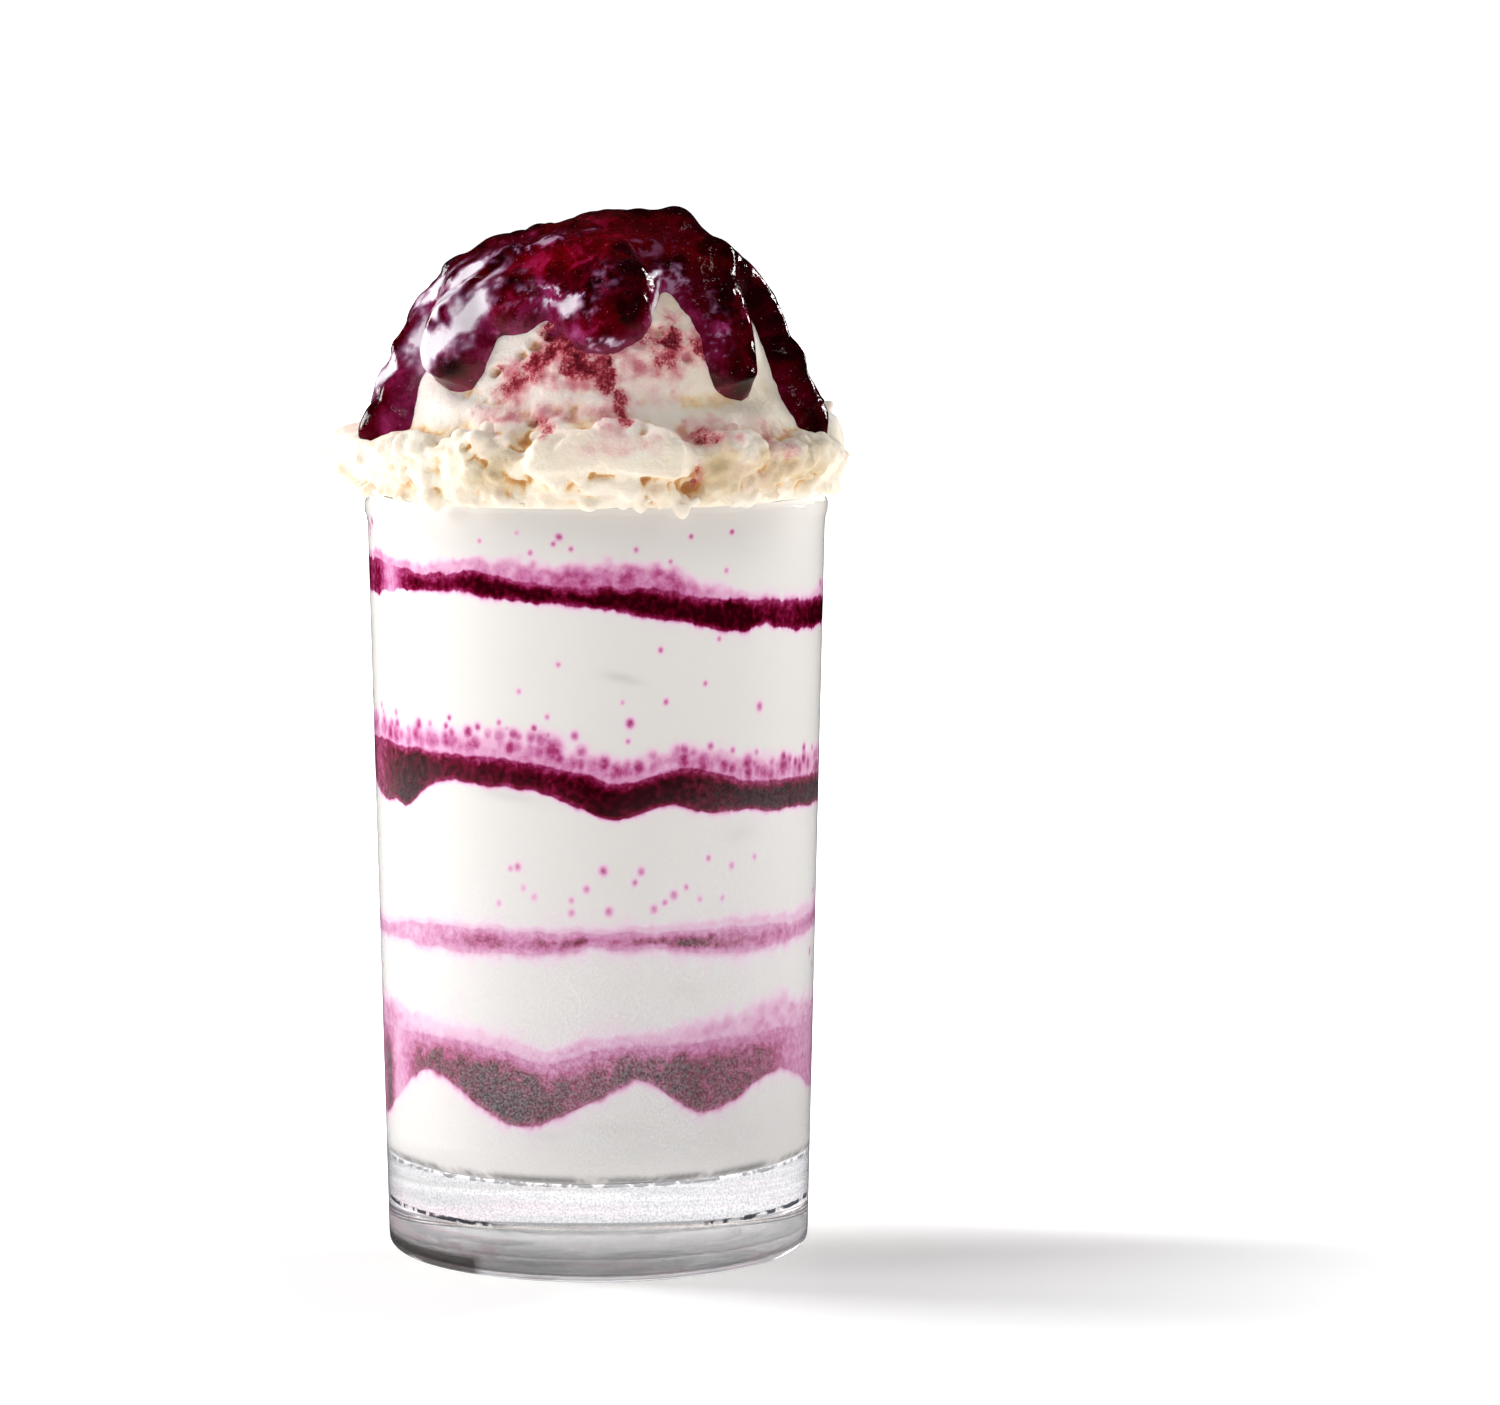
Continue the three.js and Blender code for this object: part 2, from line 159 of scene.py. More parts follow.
def noise(points, size, seed=0):
    """Smooth noise from about -1 to 1 whose lumps are about `size` mm apart."""
    p = np.asarray(points, float) / size
    base = np.floor(p)
    inside = p - base
    ease = inside**3 * (inside * (inside * 6 - 15) + 10)
    total = 0.0
    for corner in CORNERS:
        way = directions[cell_number(base + corner, seed) & np.uint32(255)]
        weight = np.where(corner > 0, ease, 1 - ease).prod(-1)
        total = total + weight * ((inside - corner) * way).sum(-1)
    return total * 1.6


def layered_noise(points, size, layers, seed=0, keep=0.5):
    """Noise added to noise of half the size and `keep` of the strength, and so on."""
    return sum(noise(points, size / 2**i, seed + i) * keep**i for i in range(layers))


def grains(points, size, seed=0):
    """How far each point is from the nearest spot, in cells, and that spot's own number from 0 to 1.

    Each cell of `size` mm holds one spot at a random place, so the nearest is in this cell or a neighbour."""
    p = np.asarray(points, float) / size
    base = np.floor(p)
    nearest = np.full(p.shape[:-1], 9.0)
    own = np.zeros(p.shape[:-1])
    for step in NEIGHBOURS:
        number = cell_number(base + step, seed)
        spot = np.stack([number & np.uint32(1023), (number >> np.uint32(10)) & np.uint32(1023),
                         (number >> np.uint32(20)) & np.uint32(1023)], -1) / 1023.0
        away = np.linalg.norm(base + step + spot - p, axis=-1)
        closer = away < nearest
        nearest = np.where(closer, away, nearest)
        own = np.where(closer, (number & np.uint32(0xFFFF)) / 65535.0, own)
    return nearest, own


def bell(distance, spread):
    """1 in the middle, falling to 0 like a bell, 0.6 at one spread away."""
    return np.exp(-0.5 * (distance / spread) ** 2)


def step_up(low, high, value):
    """0 below low, 1 above high, and an S-shaped rise in between."""
    t = np.clip((value - low) / (high - low), 0, 1)
    return t * t * (3 - 2 * t)


def within(degrees, low, high, soft=5.0):
    """1 between two angles, fading over `soft` degrees on both sides."""
    return step_up(low - soft, low + soft, degrees) * (1 - step_up(high - soft, high + soft, degrees))


def turn(degrees):
    """An angle wrapped to between -180 and 180 degrees."""
    return (np.asarray(degrees) + 180) % 360 - 180


# %% [markdown]
# ## The camera
# The photograph was taken from nearly the height of the glass, with a long lens a bit under a
# metre away, looking down by about six degrees. The object stands left of the middle, so the
# camera is turned a little to the right of it. Turning keeps the lens's shift at zero, so that
# other views aren't pulled aside.

# %% A long lens at the height of the glass
camera = bpy.data.objects.new("camera", bpy.data.cameras.new("camera"))
bpy.context.scene.collection.objects.link(camera)
camera.data.sensor_width = 36
camera.data.lens = 125.8
camera.location = (0, -0.87, 0.1855)
PITCH, YAW = np.radians(6.2), np.radians(1.68)
camera.rotation_euler = (np.pi / 2 - PITCH, 0, -YAW)
camera.data.clip_start = 0.01
bpy.context.scene.camera = camera
print("camera at", tuple(round(v, 3) for v in camera.location))

# %% [markdown]
# ## Finishes
# A finish in Blender is a tree of nodes. One helper adds a node with its settings, its plain
# values and its links, so that each finish below reads as a short list. Colours are written as
# they look on a screen, and one function turns them to the linear light that Cycles works in.

# %% Colours and nodes
def linear(hex_colour):
    """A screen colour such as "#f0e8d8" as linear red, green, blue and a full alpha."""
    screen = np.array([int(hex_colour[i:i + 2], 16) for i in (1, 3, 5)]) / 255
    light = np.where(screen <= 0.04045, screen / 12.92, ((screen + 0.055) / 1.055) ** 2.4)
    return (*light.tolist(), 1.0)


def add_node(tree, kind, settings=None, values=None, links=None, stops=None, ends=None):
    """Adds a node: settings are its own properties, values and links its inputs, and stops a ramp's colours.

    A link comes from a socket, or from a node, which then stands for its first output. A word for the
    settings is a node's operation, a Mix node's kind of data, or a Map Range node's way of blending,
    and `ends` says from and to what that maps its number, and then onto what."""
    made = tree.nodes.new("ShaderNode" + kind)
    if isinstance(settings, str):
        settings = {{"Mix": "data_type", "MapRange": "interpolation_type"}.get(kind, "operation"): settings}
    for key, value in (settings or {}).items():
        setattr(made, key, value)
    for key, value in (values or {}).items():
        made.inputs[key].default_value = value
    for key, source in (links or {}).items():
        socket = source.outputs[0] if isinstance(source, bpy.types.Node) else source
        tree.links.new(socket, made.inputs[key])
    if stops:
        ramp = made.color_ramp
        while len(ramp.elements) < len(stops):
            ramp.elements.new(0.5)
        for element, (place, colour) in zip(ramp.elements, stops):
            element.position = place
            element.color = linear(colour)
    for key, value in zip(("From Min", "From Max", "To Min", "To Max"), ends or ()):
        made.inputs[key].default_value = value
    return made


def new_finish(name):
    """An empty material, and the function that adds a node to its tree."""
    finish = bpy.data.materials.new(name)
    finish.use_nodes = True
    finish.node_tree.nodes.clear()
    return finish, partial(add_node, finish.node_tree)


# %% [markdown]
# ## The tumbler
# A pressed soda-lime tumbler: a straight wall that widens a little towards a rounded rim bead,
# and a floor as thick as a thumb. Cycles bends light through it, so the profile has to be the
# true one with an inside and an outside, and smooth, because each flat facet would show as a
# stripe. The solid's facets are too coarse for that, so a finer turned skin takes its place.

# %% The tumbler's profile
RIM, BEAD, BEAD_RADIUS = 126.0, 3.6, 38.5
FLOOR, FLOOR_ROUND, WALL = 15.6, 5.0, 2.6
FOOT_ROUND = 1.7


def outer_radius(height):
    """The outside of the wall: 35.2 mm at the foot, 38 mm under the bead, straight in between."""
    return 35.2 + 2.8 * height / (RIM - BEAD)


def inner_radius(height):
    """The inside of the wall: the outside less its thickness, curving in to the floor."""
    drop = np.clip(FLOOR_ROUND - (height - FLOOR), 0, FLOOR_ROUND)
    return outer_radius(height) - WALL - FLOOR_ROUND + np.sqrt(FLOOR_ROUND**2 - drop**2)


def curve(centre_r, centre_z, radius, start, end, steps):
    """Points on an arc of a circle, from one angle to another in degrees."""
    a = np.radians(np.linspace(start, end, steps))
    return np.stack([centre_r + radius * np.cos(a), centre_z + radius * np.sin(a)], -1)


def glass_profile():
    """Radius and height from the foot's middle, out, up, over the bead, down and in to the floor's middle."""
    lip = (BEAD_RADIUS - inner_radius(RIM)) / 2
    wall = np.linspace(3, RIM - BEAD - 2.2, 24)
    inside = np.linspace(RIM - BEAD - 1, FLOOR + FLOOR_ROUND, 24)
    corner = FLOOR + FLOOR_ROUND * (1 - np.sin(np.radians(np.linspace(4, 88, 14))))
    return np.concatenate([
        curve(outer_radius(0) - FOOT_ROUND, FOOT_ROUND, FOOT_ROUND, -90, 0, 9),
        np.stack([outer_radius(wall), wall], -1),
        [[outer_radius(RIM - BEAD) + 0.02, RIM - BEAD - 0.7], [BEAD_RADIUS - 0.28, RIM - BEAD + 0.35],
         [BEAD_RADIUS - 0.06, RIM - BEAD + 0.9]],
        curve(BEAD_RADIUS - lip, RIM - lip, lip, 6, 174, 17),
        np.stack([inner_radius(inside), inside], -1),
        np.stack([inner_radius(corner), corner], -1),
    ])


profile = glass_profile()
turns = np.linspace(0, 2 * np.pi, 256, endpoint=False)
rings = around(profile[:, :1], turns[None], profile[:, 1:])
glass = ringed("glass_tumbler", rings, (0, 0, 0), (0, 0, FLOOR))
print("tumbler:", len(profile), "rings of", len(turns))

# %% [markdown]
# The cold filling has drawn a fine mist of droplets onto the lower half of the glass. A real mist
# is too fine to model drop by drop, so it is drawn as a share of white scatter that varies from
# place to place: a slow pattern for the patches, and grains of a third of a millimetre for the
# drops. Patterns are placed by Object coordinates, in metres, so that gives a scale of 2900.

# %% The mist
DROP_SCALE = 2900


def mist_share(add, place, at, outward, drops):
    """How misted the glass is, 0 to 1: the lower half, less at the foot, times patches, times drops."""
    # The mist climbs higher at both sides: it is judged by the height less 0.4 of the way out.
    judged = add("Math", "MULTIPLY_ADD", {1: -0.4}, {0: outward, 2: at.outputs["Z"]})
    lower = add("MapRange", "SMOOTHSTEP", ends=(0.082, 0.044, 0.0, 1.0), links={0: judged})
    foot = add("MapRange", "SMOOTHSTEP", ends=(0.005, 0.011, 0.25, 1.0), links={0: at.outputs["Z"]})
    patches = add("TexNoise", values={"Scale": 45, "Detail": 3, "Roughness": 0.6}, links={"Vector": place})
    patch = add("MapRange", ends=(0.38, 0.58, 0.72, 1.0), links={0: patches})
    drop = add("MapRange", ends=(0.42, 0.6, 0.32, 1.0), links={0: drops})
    mist = lower
    for other in (foot, patch, drop):
        mist = add("Math", "MULTIPLY", links={0: mist, 1: other})
    return mist


# %% [markdown]
# The foot is solid glass, and what it shows is painted into its tint as shade. The drops show as
# grey grain, because only the pale table lies behind them. Low down, painted dark streaks lie
# round it, long, a millimetre high and darker on the left, in place of dark surroundings seen in
# the glass, with patches of grey, blue-grey and pink. Where nothing bright lies behind the lowest
# edge, painted shade makes it nearly black. All of this is a tint: the nearer it is to black, the
# less light the glass lets through.

# %% The foot's tint and painted shade
def foot_tint_and_painted_shade(add, place, at, drops):
    """The colour of the glass: nearly white, with painted shade on the foot: grey grain, dark streaks and a dark
    edge.
    """
    on_foot = add("MapRange", ends=(0.0166, 0.016), links={0: at.outputs["Z"]})
    above_ring = add("MapRange", ends=(0.0084, 0.0092, 0.18, 1.0), links={0: at.outputs["Z"]})
    on_foot = add("Math", "MULTIPLY", links={0: on_foot, 1: above_ring})
    # Painted shade: the drops on the foot darken it to grey grain.
    grain = add("MapRange", ends=(0.46, 0.62, 0.56, 0.8), links={0: drops})
    grey = add("Math", "MULTIPLY", links={0: grain, 1: on_foot})
    tint = add("Mix", "RGBA", {6: linear("#f9f7f8"), 7: linear("#5c6464")}, {0: grey})
    # Stretching the pattern's height nine times makes streaks of it.
    flat = add("Mapping", values={"Scale": (1, 1, 9)}, links={"Vector": place})
    streaks = add("TexNoise", values={"Scale": 48, "Detail": 4, "Roughness": 0.62, "Distortion": 1.2},
                  links={"Vector": flat})
    painted_dark_streak = add("MapRange", ends=(0.47, 0.53), links={0: streaks})
    low = add("MapRange", ends=(0.0094, 0.008), links={0: at.outputs["Z"]})
    left = add("MapRange", ends=(-0.028, 0.012, 0.5, 0.3), links={0: at.outputs["X"]})
    # Painted shade: dark streaks over the low foot, darker on the left.
    dark = add("Math", "MULTIPLY_ADD", {2: 0.16}, {0: painted_dark_streak, 1: left})
    dark = add("Math", "MULTIPLY", links={0: dark, 1: low})
    # Painted shade: the lowest edge on the left is nearly black.
    aside = add("MapRange", ends=(-0.0185, -0.0205), links={0: at.outputs["X"]})
    edge = add("MapRange", ends=(0.004, 0.0028, 0.0, 1.0), links={0: at.outputs["Z"]})
    painted_dark_wedge = add("Math", "MULTIPLY", links={0: aside, 1: edge})
    # Painted shade in grey, blue-grey and pink, which the dark streaks mix in.
    hues = add("TexNoise", values={"Scale": 60, "Detail": 2}, links={"Vector": flat})
    painted_shade_hues = add("ValToRGB", links={"Fac": hues}, stops=[(0.38, "#7a6e6a"), (0.5, "#80828c"), (0.6, "#c89cac")])
    tint = add("Mix", "RGBA", links={0: dark, 6: tint.outputs[2], 7: painted_shade_hues})
    return add("Mix", "RGBA", {7: linear("#423c3a")}, {0: painted_dark_wedge, 6: tint.outputs[2]})


# %% [markdown]
# Two broken, nearly black lines of painted shade run round the foot: one along the bottom of the
# filling, and one lower down that shows at both sides. Each is a thin slice of height, made wavy by
# adding a little noise to the height first.

# %% Broken rings of painted shade
# Each ring, in metres: height, half width, where it starts to show and is full on the way out; its strength.
PAINTED_DARK_RINGS = ((0.0169, 0.0003, -0.001, 0.0, 0.8), (0.0096, 0.00034, 0.013, 0.018, 1.0))


def with_painted_dark_rings(add, place, at, outward, tint):
    """The tint with each ring of painted shade mixed in where the height is within the ring and the noise leaves it
    whole.
    """
    breaks = add("TexNoise", values={"Scale": 330, "Detail": 3, "Roughness": 0.6}, links={"Vector": place})
    wavy = add("Math", "MULTIPLY_ADD", {1: 0.0012}, {0: breaks, 2: at.outputs["Z"]})
    broken = add("MapRange", ends=(0.44, 0.5), links={0: breaks})
    for height, half, first, full, most in PAINTED_DARK_RINGS:
        ring = add("Math", "COMPARE", {1: height, 2: half}, {0: wavy})
        shows = add("MapRange", ends=(first, full, 0.0, most), links={0: outward})
        for other in (shows, broken):
            ring = add("Math", "MULTIPLY", links={0: ring, 1: other})
        tint = add("Mix", "RGBA", {7: linear("#0c0c0f")}, {0: ring, 6: tint.outputs[2]})
    return tint


# %% [markdown]
# Clear soda-lime glass, pressed and fire-polished, has an index of 1.52 and no roughness of its
# own. The mist makes it a little rough and a little white, and a faint painted glow stands in for
# lamps behind the glass lighting the drops up. Lamps are let through the glass directly, because
# light that first has to find its way through two bent surfaces would leave the filling speckled.

# %% Clear glass with a cold mist
def misted_glass():
    """Glass that lets through 1 less 0.2 of the mist, with 0.12 of it as roughness and 0.06 as a painted glow."""
    finish, add = new_finish("misted_soda_lime_glass")
    place = add("TexCoord").outputs["Object"]
    at = add("SeparateXYZ", links={"Vector": place})
    outward = add("Math", "ABSOLUTE", links={0: at.outputs["X"]})
    drops = add("TexNoise", values={"Scale": DROP_SCALE, "Detail": 2, "Roughness": 0.7}, links={"Vector": place})
    mist = mist_share(add, place, at, outward, drops)
    tint = with_painted_dark_rings(add, place, at, outward, foot_tint_and_painted_shade(add, place, at, drops))
    clear = add("MapRange", ends=(0.0, 1.0, 1.0, 0.8), links={0: mist})
    rough = add("MapRange", ends=(0.0, 1.0, 0.0, 0.12), links={0: mist})
    # Painted light: the mist glows faintly, in place of lamps behind the glass lighting the drops.
    painted_glow = add("Math", "MULTIPLY", {1: 0.06}, {0: mist})
    body = add("BsdfPrincipled", values={"IOR": 1.52, "Emission Color": linear("#d8e2ff")},
               links={"Base Color": tint.outputs[2], "Emission Strength": painted_glow, "Transmission Weight": clear,
                      "Roughness": rough})
    # Lamp light, and light from one matt thing to another, goes straight through.
    open_way = add("BsdfTransparent", values={"Color": linear("#ffffff")})
    ray = add("LightPath")
    glow = add("MixShader", links={0: ray.outputs["Is Diffuse Ray"], 1: body, 2: open_way})
    both = add("MixShader", links={0: ray.outputs["Is Shadow Ray"], 1: glow, 2: open_way})
    add("OutputMaterial", links={"Surface": both})
    return finish


glass.data.materials.append(misted_glass())
# The mist's painted glow is found by chance well enough, and looking for it would only cost time.
glass.data.materials[0].cycles.emission_sampling = "NONE"
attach(glass, "root")
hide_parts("glass")

# %% [markdown]
# ## The bands in the glass
# Cream and sauce were spooned in by turns, and each level is a little uneven where it meets the
# wall. A level is a function of the angle: a height, a lean, a few bell-shaped swells and dips,
# and here also a fine raggedness that the solids leave out. Neighbours share one level, so no gap
# shows, and all of them reach a hair into the wall, as food pressed against glass does.

# %% The levels between the bands
FRONT_FINE = np.radians(np.linspace(-100, 100, 400, endpoint=False))
BACK_COARSE = np.radians(np.linspace(100, 260, 160, endpoint=False))
wall_turns = np.concatenate([FRONT_FINE, BACK_COARSE])
# Patterns on the wall are read on a cylinder of about its inside radius, in mm.
WALL_INSIDE = 34.0
THINNEST_BAND = 1.6


def seeded(seed):
    """The plain random sequence that the solids use too, so that both have the same back."""
    state = seed
    while True:
        state = state * 16807 % 2147483647
        yield state / 2147483647


def between(sequence, low, high):
    """The next random number, scaled to between low and high."""
    return low + (high - low) * next(sequence)


def level(height, lean, swells, seed, ragged):
    """A level's height at every angle: height + lean x sin(angle) + bell-shaped swells + fine noise."""
    random = seeded(seed)
    back = [(112 + 34 * i + between(random, -8, 8), between(random, -2.6, 2.2), between(random, 8, 14))
            for i in range(5)]
    degrees = np.degrees(wall_turns)
    z = height + lean * np.sin(wall_turns)
    for at, rise, spread in [*swells, *back]:
        z = z + rise * bell(turn(degrees - at), spread)
    rim = around(33.0, wall_turns, 0.0)
    return z + ragged * (layered_noise(rim, 5.0, 5, seed, 0.62) + 0.45 * noise(rim, 1.3, seed + 5))


BANDS = {
    "bottom": {
        "under": level(31, 0, [(-21, -5.5, 11), (12, 2.8, 6), (31, -3.6, 9), (-52, 2.6, 7), (56, 1.5, 7),
                               (84, -4, 8), (-85, -8, 12)], 11, 0.35),
        "over": level(38.4, 0, [(-15, -2.7, 8), (50, 0.5, 15)], 12, 0.4)},
    "lower": {
        "under": level(54, 0, [(-40, -0.5, 12), (0, 1.6, 4), (16, 0.9, 4), (45, -0.9, 12)], 21, 0.4),
        "over": level(57.2, 0, [(-78, -1.8, 10), (66, -1.2, 10)], 22, 0.35)},
    "middle": {
        "under": level(78.3, -3, [(-59, -3.2, 5), (-74, -4.4, 9), (4, -2, 7), (18, 1, 4), (-38, 1.3, 8),
                                  (-20, 1.5, 8)], 31, 0.4),
        "over": level(83, -3.2, [(5, -1.2, 6), (26, 1.9, 8), (-25, 1, 14)], 32, 0.4)},
    "upper": {
        "under": level(109, -3.6, [(-38, 1.2, 8), (-4, 1.3, 14), (36, -1.2, 6), (-80, -2, 10),
                                   (68, -1, 6)], 41, 0.55),
        "over": level(112.6, -3.4, [(-54, -0.7, 10), (-29, 1, 8), (12, 1.2, 10)], 42, 0.55)},
}
for band in BANDS.values():
    band["under"] = np.minimum(band["under"], band["over"] - THINNEST_BAND)
for name, band in BANDS.items():
    print(name, "band:", round(float((band["over"] - band["under"]).mean()), 1), "mm thick")

# %% [markdown]
# A filling is a plug: a wall between its lower and upper level, closed by a floor and a roof that
# run level to the middle. Its wall is a grid fine enough to hold the juice stains as painted
# values, about a third of a millimetre apart in front. It reaches a hair into the glass.

# %% A plug between two levels
INTO_WALL = 0.15
GRID = 0.42
SHARP_CORNER = np.radians(50)


def plug(name, under, over):
    """A closed plug whose wall runs from one level to the other, in rows of equal share."""
    tallest = float((over - under).max())
    shares = np.linspace(0, 1, max(6, int(tallest / GRID)))[:, None]
    heights = under + (over - under) * shares
    wall = around(inner_radius(heights) + INTO_WALL, wall_turns, heights)
    inner = np.array([0.85, 0.5])[:, None]
    low_mean, high_mean = float(under.mean()), float(over.mean())
    low_radius, high_radius = inner_radius(under), inner_radius(over)
    floor = around(low_radius * inner[::-1], wall_turns, low_mean + (under - low_mean) * inner[::-1] ** 3)
    roof = around(high_radius * inner, wall_turns, high_mean + (over - high_mean) * inner**3)
    rings = np.concatenate([floor, wall, roof])
    piece = ringed(name, rings, (0, 0, low_mean), (0, 0, high_mean))
    # The corner between wall and roof stays sharp, or its shading would draw a line round the glass.
    piece.data.set_sharp_from_angle(angle=SHARP_CORNER)
    piece["rows"] = [len(floor), len(heights)]
    return piece, heights


def on_wall(piece, values):
    """Spreads values on the wall's grid over the whole plug, with 0 on its floor and roof."""
    start, rows = piece["rows"]
    full = np.zeros(len(piece.data.vertices))
    full[start * len(wall_turns):(start + rows) * len(wall_turns)] = values.ravel()
    return full


print("wall grid:", len(wall_turns), "columns")

# %% [markdown]
# ## Juice in the cream
# Sauce colours the cream that touches it: a narrow magenta fringe, and above it a pink wash that
# ends unevenly. Higher up there are beads and single specks where juice splashed the wall.
# Painting this as one number from 0, clean cream, to 1, pure sauce, lets the cream and the sauce
# share one scale of colours, so that no hard line shows where they meet.

# %% Washes and fringes
# The pink wash on each cream, as [degrees round the glass, half width, reach in mm, strength].
WASHES = {
    "cream_bottom": [],
    "cream_lower": [
        (-78, 12, 6.5, 0.5), (-45, 16, 3.6, 0.3), (-12, 16, 3.2, 0.36), (16, 14, 2.6, 0.34), (46, 18, 6.5, 0.4),
        (85, 16, 6.0, 0.42), (130, 25, 5, 0.4), (180, 25, 4, 0.35), (230, 25, 5, 0.4),
    ],
    "cream_middle": [
        (-60, 20, 1.6, 0.26), (-20, 20, 1.2, 0.26), (20, 18, 1.6, 0.3), (60, 20, 3.0, 0.3), (180, 70, 1.6, 0.28),
    ],
    "cream_upper": [
        (-66, 14, 3.8, 0.36), (-44, 10, 3.8, 0.34), (-26, 12, 4.6, 0.42), (-6, 12, 4.2, 0.46), (12, 12, 3.8, 0.42),
        (34, 12, 4.8, 0.44), (58, 14, 4.6, 0.4), (100, 25, 4.2, 0.34), (150, 25, 3.6, 0.3), (200, 25, 4.2, 0.34),
        (250, 20, 3.6, 0.34),
    ],
    "cream_top": [
        (-70, 12, 2.0, 0.42), (-44, 8, 2.4, 0.4), (-32, 9, 2.8, 0.42), (-14, 9, 4.4, 0.55), (3, 10, 4.8, 0.57),
        (19, 9, 4.6, 0.53), (30, 5, 2.6, 0.36), (56, 12, 1.2, 0.26), (110, 18, 3.6, 0.36), (160, 20, 4.4, 0.36),
        (210, 20, 3.6, 0.36), (250, 12, 1.6, 0.3),
    ],
}
# How far juice creeps into each cream, in mm: up from the band below it, and down from the one above.
FRINGES = {"cream_bottom": (0.0, 0.7), "cream_lower": (1.7, 0.9), "cream_middle": (0.9, 0.35),
           "cream_upper": (0.7, 0.35), "cream_top": (0.6, 0.0)}
print("washes:", {name: len(places) for name, places in WASHES.items()})

# %% [markdown]
# Specks are small round stains. Those in front are placed one by one, because they are seen, and
# the others come from a seed further down. Besides them there are a few beige slits, where air is
# caught between the cream and the wall, and painted shade: a patchy line on the rounded floor and
# a band under the rim.

# %% Specks and slits in front
# Specks that stand out in front, as [degrees round the glass, height, radius, strength].
NAMED_SPECKS = [
    (8.5, 91.5, 0.85, 0.62), (18, 94.8, 0.55, 0.58), (47, 93, 0.85, 0.5), (16.5, 103.2, 0.55, 0.52),
    (33, 104.6, 0.5, 0.5), (-10, 101, 0.5, 0.45), (-20.5, 96.5, 0.5, 0.42), (29, 97.5, 0.5, 0.5),
    (8, 88.6, 0.5, 0.5), (-13, 92.5, 0.5, 0.45), (-9.5, 121.6, 0.7, 0.58), (-11, 120.4, 0.5, 0.55),
    (-6.5, 119.6, 0.5, 0.5), (-17, 118.9, 0.55, 0.48), (10, 119.4, 0.5, 0.5), (24.5, 121.4, 0.5, 0.55),
    (36.5, 121.9, 0.55, 0.6), (19, 117.4, 0.45, 0.5), (35, 115.6, 0.5, 0.48), (-20.5, 122.2, 0.5, 0.35),
    (-31, 120.6, 0.5, 0.4), (6.5, 94.9, 0.4, 0.4), (-24, 90.4, 0.5, 0.36), (-21.5, 68, 0.75, 0.46),
    (-23.5, 67.7, 0.55, 0.42), (1.5, 67.6, 0.9, 0.5), (11.5, 67.4, 0.75, 0.46), (9.8, 65.6, 0.65, 0.44),
    (-3, 64.6, 0.7, 0.44), (20.5, 63.3, 0.8, 0.48), (24, 64.5, 0.55, 0.44), (3, 60.9, 0.85, 0.48),
    (-7, 62.8, 0.6, 0.4), (30.5, 69, 0.6, 0.44), (38, 67.4, 0.65, 0.42), (15, 61.2, 0.8, 0.44),
    (-27, 61.9, 0.6, 0.36), (46, 68.4, 0.6, 0.36), (-20, 64.6, 0.6, 0.34), (-17, 63.2, 0.7, 0.36),
    (-7, 60.7, 0.7, 0.42), (18, 62.2, 0.6, 0.42), (28, 62.4, 0.6, 0.36), (35, 62.2, 0.6, 0.36),
]
# Slits of caught air, as [degrees, height, half width, half height, lean, strength].
POCKETS = {
    "cream_upper": [(6, 98.9, 1.9, 0.55, 0.18, 0.16), (9, 98.2, 1.2, 0.4, 0.1, 0.14)],
    "cream_middle": [(-24, 79.6, 3.6, 0.7, 0.12, 0.13), (41, 72.5, 2.2, 0.9, -0.1, 0.08)],
    "cream_lower": [(24, 47.6, 2.4, 0.8, 0.1, 0.06)],
    "cream_bottom": [(4, 25.5, 3.4, 0.7, 0.05, 0.08), (-14, 24, 2.4, 0.5, 0, 0.06)],
}
print("named specks:", len(NAMED_SPECKS))

# %% Laying specks on the grid
SPECK_REACH = 6  # degrees
BEAD_STEP = 2.9  # degrees
ALL_ROUND = (-180, 180)


def over_angle(places, degrees, item):
    """A value at every angle: the mean of the listed ones, weighted by a bell round each listed place."""
    weights = np.array([bell(turn(degrees - place[0]), place[1]) for place in places]) + 1e-6
    values = np.array([place[item] for place in places])
    return (weights * values[:, None]).sum(0) / weights.sum(0)


def add_specks(stain, heights, specks):
    """Lays soft round specks over the stain, dark in the middle; the stronger value wins."""
    degrees = np.degrees(wall_turns)
    for at, z, radius, strength in specks:
        near = np.abs(turn(degrees - at)) < SPECK_REACH
        across = np.radians(turn(degrees[near] - at)) * WALL_INSIDE
        away = np.hypot(across[None], (heights[:, near] - z) * 0.85) / radius
        spot = strength * (0.6 * (1 - step_up(0.3, 1.6, away)) + 0.4 * bell(away, 0.5))
        stain[:, near] = np.maximum(stain[:, near], spot)
    return stain


def base_at(base, degrees):
    """The height of a level at any angles, read off between its known ones."""
    known = turn(np.degrees(wall_turns))
    order = np.argsort(known)
    return np.interp(turn(degrees), known[order], base[order])


def splashes(base, top, count, seed):
    """Small random specks at the sides and back, thicker on the ground near the band."""
    random = np.random.default_rng(seed)
    at = random.uniform(78, 282, count)
    room = top.mean() - base.mean()
    z = base_at(base, at) + 1 + 0.85 * room * random.random(count) ** 2
    return np.stack([at, z, random.uniform(0.4, 0.8, count), random.uniform(0.35, 0.6, count)], -1)


